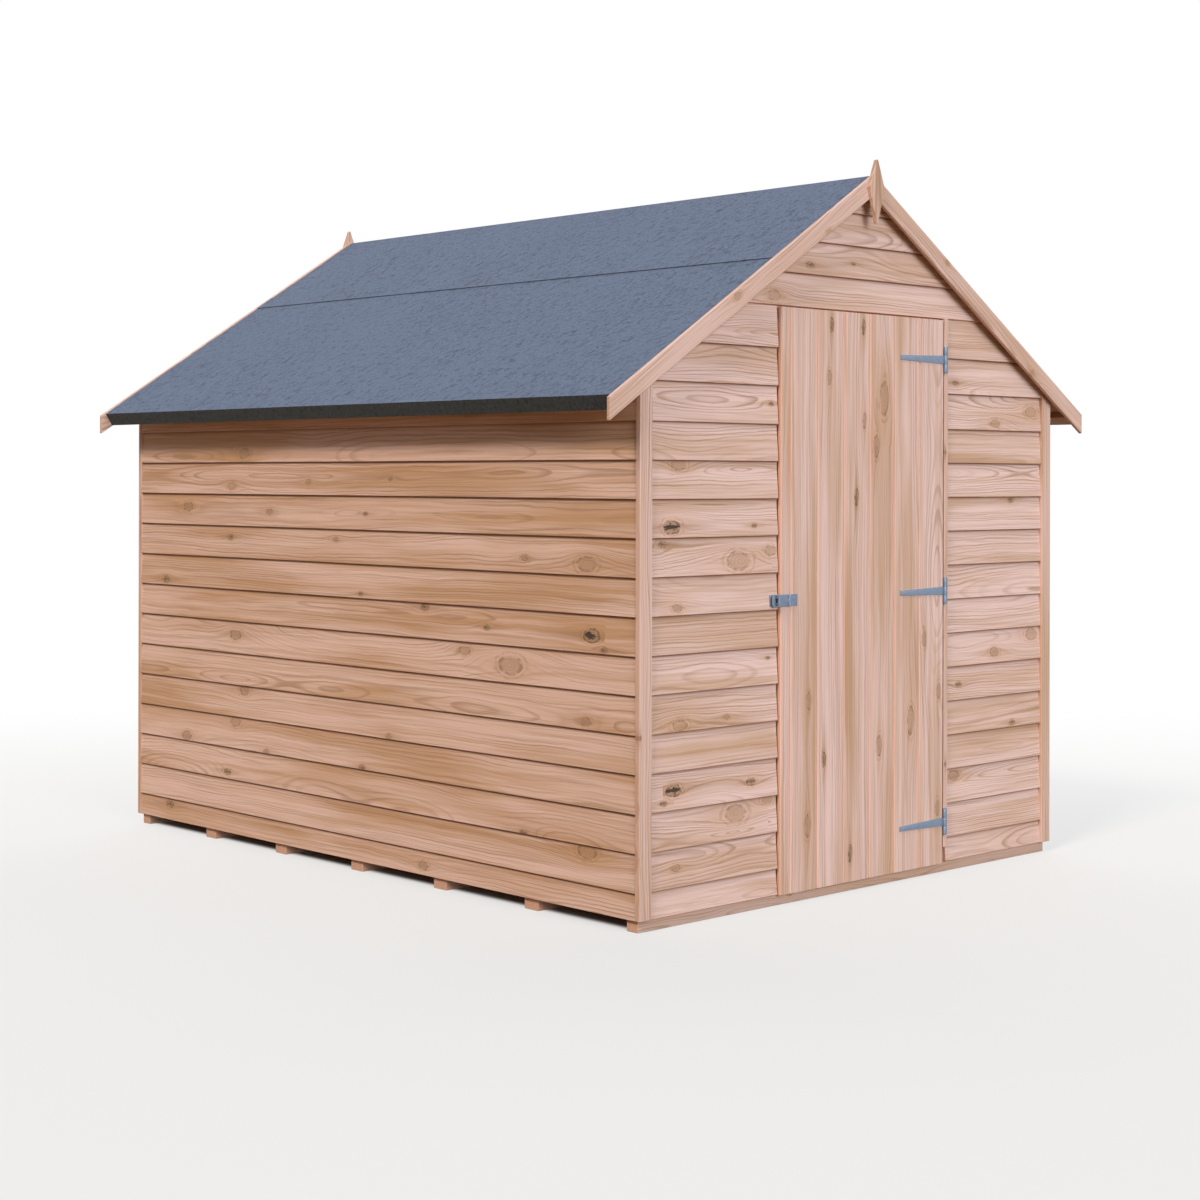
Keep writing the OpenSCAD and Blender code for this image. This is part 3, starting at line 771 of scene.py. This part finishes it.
# %% [markdown]
# ## Lapped cladding
# The walls are feather-edge boards: thick at the lower edge, thin at the top, each hanging over
# the one below. The frame's wall solids already have the right lap lines, so the heights are read
# from their corners. Each course is then a board of its own that leans on the board below and
# runs up behind the board above, as on the real wall.

# %% Lap lines and roof pitch from the frame
SAME_PLACE = 1e-5
roof_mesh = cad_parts["roof_boards_right"].data
roof_face = max(roof_mesh.polygons, key=lambda face: face.area * (face.normal.z > 0))
PITCH = math.acos(roof_face.normal.z)


def lap_lines(node, axis, outermost):
    """Heights of the lower edges of the boards in a wall."""
    corners = [v.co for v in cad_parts[node].data.vertices]
    return sorted({round(c.z, 4) for c in corners if abs(c[axis] - outermost) < SAME_PLACE})


print("pitch", round(math.degrees(PITCH), 2), "degrees")

# %% Hang a wall of boards
LAP_THIN = 0.004
LAP_HIDDEN = 0.015
LAP_CLEAR = 0.0002
KNOT_MARGIN = 0.012
WALL_STEPS = 12
WALL_EASE = 0.0012
WALL_BOW = 0.0008


def lap_section(show, thick, is_lowest, is_highest):
    """A board drawn as (across, out): it shows this height and runs on behind the next board."""
    top = show if is_highest else show + LAP_HIDDEN
    outer_top = thick - (thick - LAP_THIN) * top / show
    back = 0.0 if is_lowest else LAP_THIN + LAP_CLEAR
    return [(0, back), (0, thick), (top, outer_top), (top, 0)]


def hang_boards(stack, lines, top, axes, start, end, thick, cuts_at, placed=None):
    """One board for each lap line, in axes whose across axis runs up from the ground. Placed
    knots are (along, height, radius in mm, kind), and where there are none they are scattered."""
    for i, line in enumerate(lines):
        is_highest = i + 1 == len(lines)
        above = top if is_highest else lines[i + 1]
        section = lap_section(above - line, thick, i == 0, is_highest)
        if placed is None:
            knots = scattered_knots(start, end, KNOT_MARGIN, above - line)
        else:
            here = [k for k in placed if line <= k[1] < above and start < k[0] < end]
            knots = [(k[0], k[1] - line, k[2] / MM, k[3]) for k in here]
        shape = board_shape(section, start, end, cuts_at(line), WALL_STEPS, WALL_EASE, WALL_BOW)
        lap = NO_LAP if is_highest else above - line
        stack.add(shape, axes @ Matrix.Translation((0, line, 0)), knots, lap)


print("a board runs up", LAP_HIDDEN * MM, "mm behind the next")

# %% [markdown]
# ## Side walls
# On the wall that the photograph shows, the knots sit where they are on the real boards. Their
# places were read off: metres towards the front from the wall's middle, metres up, the
# radius in millimetres and the kind of knot.

# %% Hang the side boards
LEFT_KNOTS = [
    (-0.59, 1.26, 17, RINGED), (-0.24, 1.17, 8, RINGED), (0.17, 1.18, 6, DARK),
    (-0.66, 1.155, 13, SOUND), (-0.92, 1.085, 15, RINGED), (-0.45, 1.075, 9, RINGED),
    (0.05, 1.075, 6, DARK), (-0.67, 0.99, 9, DARK), (-0.10, 0.995, 7, RINGED),
    (0.77, 0.965, 9, RINGED), (1.02, 0.955, 20, SOUND), (-1.05, 0.84, 11, DARK),
    (0.03, 0.835, 6, DARK), (0.33, 0.81, 10, DARK), (0.61, 0.765, 7, DARK),
    (1.04, 0.765, 17, BROKEN), (1.09, 0.73, 7, DARK), (0.51, 0.695, 13, SOUND),
    (0.71, 0.665, 25, SOUND), (-0.64, 0.675, 16, RINGED), (1.02, 0.535, 11, RINGED),
    (-0.59, 0.50, 15, RINGED), (0.17, 0.42, 8, RINGED), (-0.64, 0.395, 15, SOUND),
    (-0.92, 0.325, 15, RINGED), (-0.46, 0.315, 8, RINGED), (0.04, 0.315, 8, DARK),
    (-0.68, 0.23, 10, DARK), (0.77, 0.21, 8, DARK), (1.02, 0.19, 19, SOUND),
    (0.33, 0.06, 12, RINGED), (-1.03, 0.085, 12, DARK),
]


def square_ends(line):
    """No slanting cuts: these boards end square at every height."""
    return ()


for side, sign, placed in (("left", -1, LEFT_KNOTS), ("right", 1, None)):
    node = side + "_wall_cladding"
    low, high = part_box(node)
    outermost, framing = (low.x, high.x) if sign < 0 else (high.x, low.x)
    wall = axes_at((framing, 0, 0), (0, sign, 0), (0, 0, 1))
    boards = Stack()
    lines = lap_lines(node, 0, outermost)
    thick = high.x - low.x
    hang_boards(boards, lines, high.z, wall, low.y, high.y, thick, square_ends, placed)
    boards.make(side + "_wall_boards", side_lit_wood, "shed", "cladding", node)

# %% [markdown]
# ## Gable walls
# The gable boards are hung in the same way and sawn to the two slopes of the roof. The front's
# knots are again at their real places: metres to the right of the shed's middle, metres up, the
# radius in millimetres and the kind.

# %% Knots of the front
FRONT_KNOTS = [
    (-0.39, 1.69, 15, SOUND), (-0.24, 1.785, 9, DARK), (-0.05, 1.80, 5, DARK),
    (-0.40, 1.39, 6, DARK), (-0.76, 1.22, 15, SOUND), (-0.79, 1.055, 17, BROKEN),
    (-0.47, 1.055, 6, DARK), (-0.82, 1.01, 9, DARK), (-0.53, 0.96, 24, SOUND),
    (-0.40, 0.985, 13, SOUND), (-0.77, 0.84, 10, RINGED), (-0.41, 0.69, 5, DARK),
    (-0.76, 0.53, 15, SOUND), (-0.58, 0.54, 7, RINGED), (-0.78, 0.36, 15, BROKEN),
    (-0.48, 0.355, 10, DARK), (-0.82, 0.33, 7, DARK), (-0.54, 0.275, 22, SOUND),
    (-0.41, 0.30, 12, SOUND), (-0.77, 0.155, 9, RINGED), (0.43, 1.475, 8, DARK),
    (0.63, 1.355, 13, RINGED), (0.82, 1.395, 16, SOUND), (0.72, 1.12, 9, DARK),
    (0.83, 0.695, 17, SOUND), (0.63, 0.65, 13, RINGED), (0.45, 0.56, 8, DARK),
    (0.72, 0.425, 8, DARK), (0.43, 0.285, 15, RINGED),
]
print("knots placed on the front:", len(FRONT_KNOTS))

# %% Hang the gable boards
ROOF_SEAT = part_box("front_rafters")[1].z
RAFTER_GAP_HALF = 0.001


def roof_cuts(line):
    """The two slopes that the gable boards are sawn to, for a lower edge at this height."""
    apex = (0.0, ROOF_SEAT + RAFTER_GAP_HALF * math.tan(PITCH) - line)
    return [(apex, (side * math.sin(PITCH), math.cos(PITCH))) for side in (-1, 1)]


for node, name, sign, placed in (
    ("back_wall_cladding", "back_wall_boards", 1, None),
    ("front_wall_cladding_left", "front_left_boards", -1, FRONT_KNOTS),
    ("front_wall_cladding_right", "front_right_boards", -1, FRONT_KNOTS),
    ("front_gable_cladding", "front_gable_boards", -1, FRONT_KNOTS),
):
    low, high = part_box(node)
    outermost, framing = (high.y, low.y) if sign > 0 else (low.y, high.y)
    wall = axes_at((0, framing, 0), (-sign, 0, 0), (0, 0, 1))
    start, end = sorted((-sign * low.x, -sign * high.x))
    boards = Stack()
    lines = lap_lines(node, 1, outermost)
    thick = high.y - low.y
    hang_boards(boards, lines, high.z, wall, start, end, thick, roof_cuts, placed)
    boards.make(name, board_wood, "shed", "cladding", node)

# %% [markdown]
# ## Door boards
# The door is made of upright tongued boards with a small vee between them, counted from the hinge
# side, so the last one at the latch is ripped narrow. The vee is two chamfers that meet, which is
# how the real joint is planed. Its knots are given as metres up, metres in from the hinge edge,
# the radius in millimetres and the kind.

# %% Knots of the door
DOOR_KNOTS = [
    (1.62, 0.515, 8, DARK), (1.62, 0.375, 8, DARK), (1.47, 0.525, 8, RINGED),
    (1.42, 0.28, 18, SOUND), (1.35, 0.37, 8, RINGED), (1.28, 0.315, 12, RINGED),
    (1.13, 0.405, 9, DARK), (0.71, 0.09, 9, RINGED), (0.56, 0.61, 9, RINGED),
    (0.55, 0.02, 9, RINGED), (0.47, 0.155, 15, SOUND), (0.41, 0.30, 11, RINGED),
    (0.39, 0.545, 8, DARK), (0.21, 0.615, 11, RINGED), (0.20, 0.025, 9, RINGED),
    (0.11, 0.43, 9, DARK),
]
print("knots placed on the door:", len(DOOR_KNOTS))

# %% Lay up the door boards
DOOR_BOARD = 0.115
DOOR_SLIT = 0.0003
DOOR_STEPS = 8
VEE_DEPTH = 0.003
VEE_HALF = 0.0035
SMALL_EASE = 0.0004

low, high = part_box("door_boards")
door_axes = axes_at((high.x, high.y, 0), (0, 0, 1), (-1, 0, 0))
door_w = high.x - low.x
door_t = high.y - low.y
boards = Stack()
count = math.ceil(door_w / DOOR_BOARD)
for i in range(count):
    a = i * DOOR_BOARD
    b = min((i + 1) * DOOR_BOARD, door_w) - DOOR_SLIT
    first = (VEE_HALF, VEE_DEPTH) if i > 0 else (EASE, EASE)
    last = (VEE_HALF, VEE_DEPTH) if i + 1 < count else (EASE, EASE)
    section = [(a, 0), (a, door_t - first[1]), (a + first[0], door_t)]
    section += [(b - last[0], door_t), (b, door_t - last[1]), (b, 0)]
    knots = [(up, over, size / MM, kind) for up, over, size, kind in DOOR_KNOTS if a < over < b]
    shape = board_shape(section, low.z, high.z, (), DOOR_STEPS, SMALL_EASE)
    boards.add(shape, door_axes, knots)
boards.make("door_front_boards", door_wood, "door", "door", "door_boards")

# %% [markdown]
# ## Timbers that the frame already has
# Bearers, studs, rails, rafters, trims and bargeboards are plain sawn lengths, and the frame's
# solids have their true shape. They are copied here, their arrises are eased with a small bevel,
# and each one learns its own axes: the longest edge says which way its grain runs and its largest
# face says which way is out.

# %% Copy the solids of a node
SAME_POINT = 1e-6
FLAT_ANGLE = math.radians(1)


def touching_faces(seed, taken):
    """The faces that hang together with this one, each noted as taken."""
    taken.add(seed)
    found = []
    queue = [seed]
    while queue:
        face = queue.pop()
        found.append(face)
        for near in [f for edge in face.edges for f in edge.link_faces]:
            if near not in taken:
                taken.add(near)
                queue.append(near)
    return found


def solids_of(node):
    """Each solid of a node as a shape of its own, with whole faces instead of triangles."""
    whole = bmesh.new()
    whole.from_mesh(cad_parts[node].data)
    bmesh.ops.remove_doubles(whole, verts=whole.verts, dist=SAME_POINT)
    bmesh.ops.dissolve_limit(whole, angle_limit=FLAT_ANGLE, verts=whole.verts, edges=whole.edges)
    taken = set()
    solids = []
    for seed in whole.faces[:]:
        if seed in taken:
            continue
        solid = bmesh.new()
        copies = {}
        for face in touching_faces(seed, taken):
            for vert in face.verts:
                if vert not in copies:
                    copies[vert] = solid.verts.new(vert.co)
            solid.faces.new([copies[v] for v in face.verts])
        bmesh.ops.recalc_face_normals(solid, faces=solid.faces)
        solids.append(solid)
    whole.free()
    return solids


print("faces within", round(math.degrees(FLAT_ANGLE)), "degree are joined")

# %% Ease a timber and find its grain
SHARP_ANGLE = math.radians(20)
BEVEL_STEPS = 2
TRIM_KNOT = 0.016
KNOT_SHARE = 0.3


def ease_arrises(shape, ease):
    """Rounds every sharp edge of a shape by this much."""
    inner = [e for e in shape.edges if len(e.link_faces) == 2]
    sharp = [e for e in inner if e.calc_face_angle() > SHARP_ANGLE]
    bmesh.ops.bevel(
        shape, geom=sharp, offset=ease, segments=BEVEL_STEPS, profile=0.5, affect="EDGES"
    )


def grain_axes(solid, grain=None):
    """A timber's own axes, with its grain along the longest edge unless it is given."""
    longest = max(solid.edges, key=lambda e: round(e.calc_length(), 5))
    run = Vector(grain) if grain else longest.verts[1].co - longest.verts[0].co
    broad = max(solid.faces, key=lambda f: round(f.calc_area(), 7)).normal
    run.normalize()
    face_point = max((v.co for v in solid.verts), key=lambda p: p.dot(broad))
    origin = longest.verts[0].co.copy()
    origin += broad * (face_point - origin).dot(broad)
    return axes_at(origin, run, broad.cross(run))


def timber(name, material, slot, nodes, body="shed", grain=None, every=0.8):
    """Copies of these nodes' solids as wood, one mesh for all, with a knot every so often."""
    stack = Stack()
    for node in nodes:
        for solid in solids_of(node):
            axes = grain_axes(solid, grain)
            ease_arrises(solid, EASE)
            solid.transform(axes.inverted())
            spans = [sorted(v.co[k] for v in solid.verts) for k in (0, 1)]
            (start, end), (near, far) = ((s[0], s[-1]) for s in spans)
            biggest = min(TRIM_KNOT, (far - near) * KNOT_SHARE)
            knots = scattered_knots(start, end, near, far, every, biggest)
            stack.add(solid, axes, knots)
    stack.make(name, material, body, slot, *nodes)


print("largest knot on a timber:", TRIM_KNOT * MM, "mm")

# %% [markdown]
# ## Trims, bargeboards and finials
# Planed strips close the corners and carry the hinges, bargeboards close the ends of the roof,
# and a pointed finial covers each joint at the ridge. They are the cleanest wood on the shed, so
# they have few knots. A finial is cut with its grain upright, whichever of its edges is longest.

# %% Nail on the trims
ENDS = ("front", "back")
SIDES = ("left", "right")
NEARLY_CLEAR = 4.0
NO_KNOTS = 9.0

corners = [end + "_" + side + "_corner_trim" for end in ENDS for side in SIDES]
timber("corner_trim_strips", trim_wood, "trim", corners, every=NEARLY_CLEAR)
timber("hinge_side_strip", trim_wood, "trim", ["hinge_strip"])
barges = [end + "_bargeboard_" + side for end in ENDS for side in SIDES]
timber("bargeboard_lengths", trim_wood, "trim", barges)
finials = ["front_finial", "back_finial"]
timber("finial_pair", trim_wood, "trim", finials, grain=(0, 0, 1), every=NO_KNOTS)

# %% [markdown]
# ## Framing, bearers and the back of the door
# The frame of a shed is rough sawn wood that nobody sees until the door is open: studs and rails
# in the walls, rafters and battens under the roof, bearers under the floor, and the ledges and
# braces that hold the door boards together. The door's own timbers ride on the door.

# %% Put up the framing
timber("floor_bearers", bearer_wood, "bearer", ["bearers"])
studs = [side + "_wall_studs" for side in ("left", "right", "back", "front")]
timber("wall_studs", framing_wood, "framing", studs)
rails = ["left_wall_rails", "right_wall_rails", "back_wall_rail", "front_wall_rails"]
timber("wall_rails", framing_wood, "framing", rails)
timber("gable_rafters", framing_wood, "framing", ["front_rafters", "back_rafters"])
timber("roof_purlins", framing_wood, "framing", ["roof_battens_left", "roof_battens_right"])
timber("door_ledge_boards", framing_wood, "door", ["door_ledges"], "door")
timber("door_brace_boards", framing_wood, "door", ["door_braces"], "door")

# %% [markdown]
# ## Floor and roof boards
# Under the felt and over the bearers lie thin tongued boards. They show through the open door and
# under the eaves. The frame has them as one sheet each, and here they become separate boards with
# a vee on the face that is seen.

# %% Lay tongued boards
SHEET_VEE = 0.002
SHEET_SLIT = 0.0004
SHEET_STEPS = 4
SHEET_KNOTS_EVERY = 0.5
SHEET_KNOT = 0.014
SHEET_MARGIN = 0.01


def sheet_of_boards(stack, axes, width, thick, start, end, count, seen_out):
    """Boards side by side from 0 to width, with a vee on the side that is seen."""
    for i in range(count):
        a = width * i / count
        b = width * (i + 1) / count - SHEET_SLIT
        section = [(a, 0), (a, thick - SHEET_VEE), (a + SHEET_VEE, thick)]
        section += [(b - SHEET_VEE, thick), (b, thick - SHEET_VEE), (b, 0)]
        if not seen_out:
            section = [(t, thick - o) for t, o in reversed(section)]
        low, high = a + SHEET_MARGIN, b - SHEET_MARGIN
        knots = scattered_knots(start, end, low, high, SHEET_KNOTS_EVERY, SHEET_KNOT)
        shape = board_shape(section, start, end, (), SHEET_STEPS, SMALL_EASE)
        stack.add(shape, axes, knots)


print("vee between tongued boards:", SHEET_VEE * MM, "mm")

# %% Board the floor and the roof
FLOOR_BOARDS = 18
ROOF_BOARDS = 13
ROOF_BOARD_THICK = 0.012

low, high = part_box("floor_boards")
boards = Stack()
floor_axes = axes_at((low.x, 0, low.z), (0, -1, 0), (1, 0, 0))
floor_w = high.x - low.x
floor_t = high.z - low.z
sheet_of_boards(boards, floor_axes, floor_w, floor_t, low.y, high.y, FLOOR_BOARDS, True)
boards.make("floor_board_lengths", framing_wood, "shed", "sheathing", "floor_boards")

for side, sign in (("left", -1), ("right", 1)):
    node = "roof_boards_" + side
    low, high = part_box(node)
    down = Vector((sign * math.cos(PITCH), 0, -math.sin(PITCH)))
    out = Vector((sign * math.sin(PITCH), 0, math.cos(PITCH)))
    crown = Vector((0, 0, high.z)) - out * ROOF_BOARD_THICK
    slope = max(abs(low.x), abs(high.x)) / math.cos(PITCH)
    roof_axes = axes_at(crown, (0, sign, 0), down)
    boards = Stack()
    sheet_of_boards(
        boards, roof_axes, slope, ROOF_BOARD_THICK, low.y, high.y, ROOF_BOARDS, False
    )
    boards.make("roof_board_lengths_" + side, framing_wood, "shed", "sheathing", node)

# %% [markdown]
# ## Felt
# Roofing felt is a bitumen sheet with fine stone on top, here blue-grey and rough as plaster,
# with short pits that run down the slope. The stone is far too fine to model, so noise draws it
# and a bump gives it shade. The edge that is turned down over the eaves has a finer grain and a
# much darker colour, which is painted shade for faces that look down.

# %% Felt finish
FELT_BLUE = (0.131, 0.181, 0.302, 1.0)
FELT_BLUE_DEEP = (0.043, 0.063, 0.111, 1.0)
# The turned-down edge: the felt's colours made much darker, painted shade for faces that look down.
FELT_EDGE_SHADED = (0.062, 0.075, 0.084, 1.0)
FELT_EDGE_SHADED_DEEP = (0.026, 0.031, 0.035, 1.0)
PIT_LEAN = 0.35


def felt_finish(name, base, deep, down, over):
    """Stone on bitumen. Down and over say how many pits there are in a metre, down the slope and
    along the roof."""
    material, pen = start_finish(name)
    x, y, z = pen.node("TexCoord", None, None, "Object").parts()
    slope = x * (1 / math.cos(PITCH))
    lean = y + slope * PIT_LEAN
    pits = pen.ramp(pen.cloud(slope * down, lean * over, z * 3.0, 4.0), 0.50, 0.68)
    scars = pen.ramp(pen.cloud(slope * down * 0.3, lean * over * 0.7, 7.0), 0.62, 0.72)
    stone = pen.cloud(slope * 130.0, lean * 170.0, z * 60.0, 3.0)
    patches = pen.cloud(x * 2.5, y * 2.5, z * 2.5, 3.0)
    worn = pits * 0.45 + scars * 0.40 + (stone - 0.5) * 1.9 + (patches - 0.5) * 0.4
    height = stone * 1.2 - pits * 0.6 - scars * 0.3
    bump = pen.node("Bump", None, {"Strength": 1.0, "Distance": 0.005, "Height": height})
    finish = {"Base Color": pen.mix(worn, base, deep), "Roughness": stone * 0.2 + 0.75}
    surface(pen, {**finish, "Normal": bump, "Specular IOR Level": 0.25})
    return material


felt_top = felt_finish("mineral_felt", FELT_BLUE, FELT_BLUE_DEEP, 45.0, 65.0)
felt_edge_shaded = felt_finish("felt_turned_edge_shaded", FELT_EDGE_SHADED, FELT_EDGE_SHADED_DEEP, 90.0, 110.0)
print("felt finishes:", felt_top.name, felt_edge_shaded.name)

# %% [markdown]
# ## Felt sheets
# One sheet covers each slope and turns down over the eaves, and a third one laps over both at the
# ridge. The sheets are copied from the frame and cut into a grid, and each point then sinks by
# less than a millimetre, because felt never lies dead flat. A cloth simulation would do no
# better: the sheets are nailed down all over.

# %% Lay the felt
FELT_GRID = 0.05
FELT_WAVE = 0.0006
FELT_WAVES_PER_METRE = 5
TURNED_DOWN = -0.3
for part in ("left", "right", "ridge"):
    node = "felt_" + part
    name = "felt_sheet_" + part
    shape = solids_of(node)[0]
    low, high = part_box(node)
    for axis, wanted in ((0, high.x - low.x), (1, high.y - low.y)):
        steps = round(wanted / FELT_GRID)
        for i in range(1, steps):
            point = Vector((0, 0, 0))
            normal = Vector((0, 0, 0))
            point[axis] = low[axis] + wanted * i / steps
            normal[axis] = 1
            cut_across(shape, point, normal)
    for vert in shape.verts:
        out = Vector((math.copysign(math.sin(PITCH), vert.co.x), 0, math.cos(PITCH)))
        vert.co -= out * FELT_WAVE * (0.5 + 0.5 * noise.noise(vert.co * FELT_WAVES_PER_METRE))
    mesh = bpy.data.meshes.new(name)
    shape.to_mesh(mesh)
    shape.free()
    mesh.materials.append(felt_top)
    mesh.materials.append(felt_edge_shaded)
    for face in mesh.polygons:
        # Faces that look down get the darker edge finish: painted shade.
        face.material_index = int(face.normal.z < TURNED_DOWN)
    dress(name, mesh, "shed", [node])

# %% [markdown]
# ## Zinc
# Three tee hinges and a hasp of zinc-plated steel hold the door. Plating has a faint patchy
# spangle and is dull, so the finish is half metal with a rough surface. The spangle is a pattern
# of cells, each with a shade of its own.

# %% Zinc finish
ZINC_PALE = (0.215, 0.280, 0.385, 1.0)
ZINC_DARK = (0.135, 0.190, 0.280, 1.0)
SPANGLES_PER_METRE = 260.0
PATCHES_PER_METRE = 60.0
HALF_METAL = 0.55

zinc, pen = start_finish("dull_zinc")
place = pen.node("TexCoord", None, None, "Object")
x, y, z = [part * PATCHES_PER_METRE for part in place.parts()]
patch = pen.cloud(x, y, z, 3.0)
cells = {"Vector": place, "Scale": SPANGLES_PER_METRE}
spangle = pen.node("TexVoronoi", {"feature": "F1"}, cells, "Color").parts()[0]
zinc_colour = pen.mix(spangle * 0.35 + patch * 0.4, ZINC_PALE, ZINC_DARK)
dents = patch + spangle * 0.3
zinc_bump = pen.node("Bump", None, {"Strength": 0.2, "Distance": 0.0004, "Height": dents})
zinc_finish = {"Base Color": zinc_colour, "Roughness": 0.4 + patch * 0.25, "Normal": zinc_bump}
surface(pen, {**zinc_finish, "Metallic": HALF_METAL})
print("metal finish:", zinc.name)

# %% [markdown]
# ## Hinges and hasp
# The fittings come from the frame with a small bevel on their edges, because bent plate has no
# sharp ones. Each plate is held by screws with low round heads: a sphere, flattened until it
# stands less than a millimetre proud, is enough for a head of that size.

# %% Drive screws
SCREW_HEAD = 0.0034
SCREW_RISE = 0.0009
HEAD_SIDES = 14
HEAD_RINGS = 8
FACING_FRONT = -0.99


def drive_screws(solid, count):
    """Sets screws with low round heads in a row on the broadest face that looks to the front."""
    fronts = [face for face in solid.faces if face.normal.y < FACING_FRONT]
    broad = max(fronts, key=lambda face: face.calc_area())
    spans = {}
    for axis in (0, 2):
        places = [v.co[axis] for v in broad.verts]
        spans[axis] = (min(places), max(places))
    long = max(spans, key=lambda axis: spans[axis][1] - spans[axis][0])
    low, high = spans[long]
    flat = Matrix.Diagonal((1, SCREW_RISE / SCREW_HEAD, 1, 1))
    middle = broad.calc_center_bounds()
    for i in range(count):
        spot = middle.copy()
        spot[long] = low + (high - low) * (i + 0.5) / count
        bmesh.ops.create_uvsphere(
            solid,
            u_segments=HEAD_SIDES,
            v_segments=HEAD_RINGS,
            radius=SCREW_HEAD,
            matrix=Matrix.Translation(spot) @ flat,
        )


print("screw heads:", 2 * SCREW_HEAD * MM, "mm wide")

# %% Screw on the fittings
METAL_EASE = 0.0004
SMOOTH_ANGLE = math.radians(35)


def fitting(name, node, body, screws=0):
    """A metal fitting copied from the frame, with its edges eased and so many screws a plate."""
    mesh = bpy.data.meshes.new(name)
    whole = bmesh.new()
    for solid in solids_of(node):
        ease_arrises(solid, METAL_EASE)
        if screws:
            drive_screws(solid, screws)
        part = bpy.data.meshes.new("part")
        solid.to_mesh(part)
        solid.free()
        whole.from_mesh(part)
        bpy.data.meshes.remove(part)
    whole.to_mesh(mesh)
    whole.free()
    mesh.materials.append(zinc)
    mesh.shade_smooth()
    mesh.set_sharp_from_angle(angle=SMOOTH_ANGLE)
    dress(name, mesh, body, [node])


fitting("tee_hinge_plates", "hinge_plates", "shed", 3)
fitting("tee_hinge_straps", "hinge_straps", "door", 4)
fitting("hasp_fixed_leaf", "hasp_leaf", "door", 2)
fitting("hasp_swing_flap", "hasp_flap", "hasp")
fitting("staple_loop", "hasp_staple", "shed")

# %% Sizes and finish
made_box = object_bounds()
for label, box in (("frame", cad_box), ("scene", made_box)):
    print(label, [[round(v, 4) for v in corner] for corner in box])
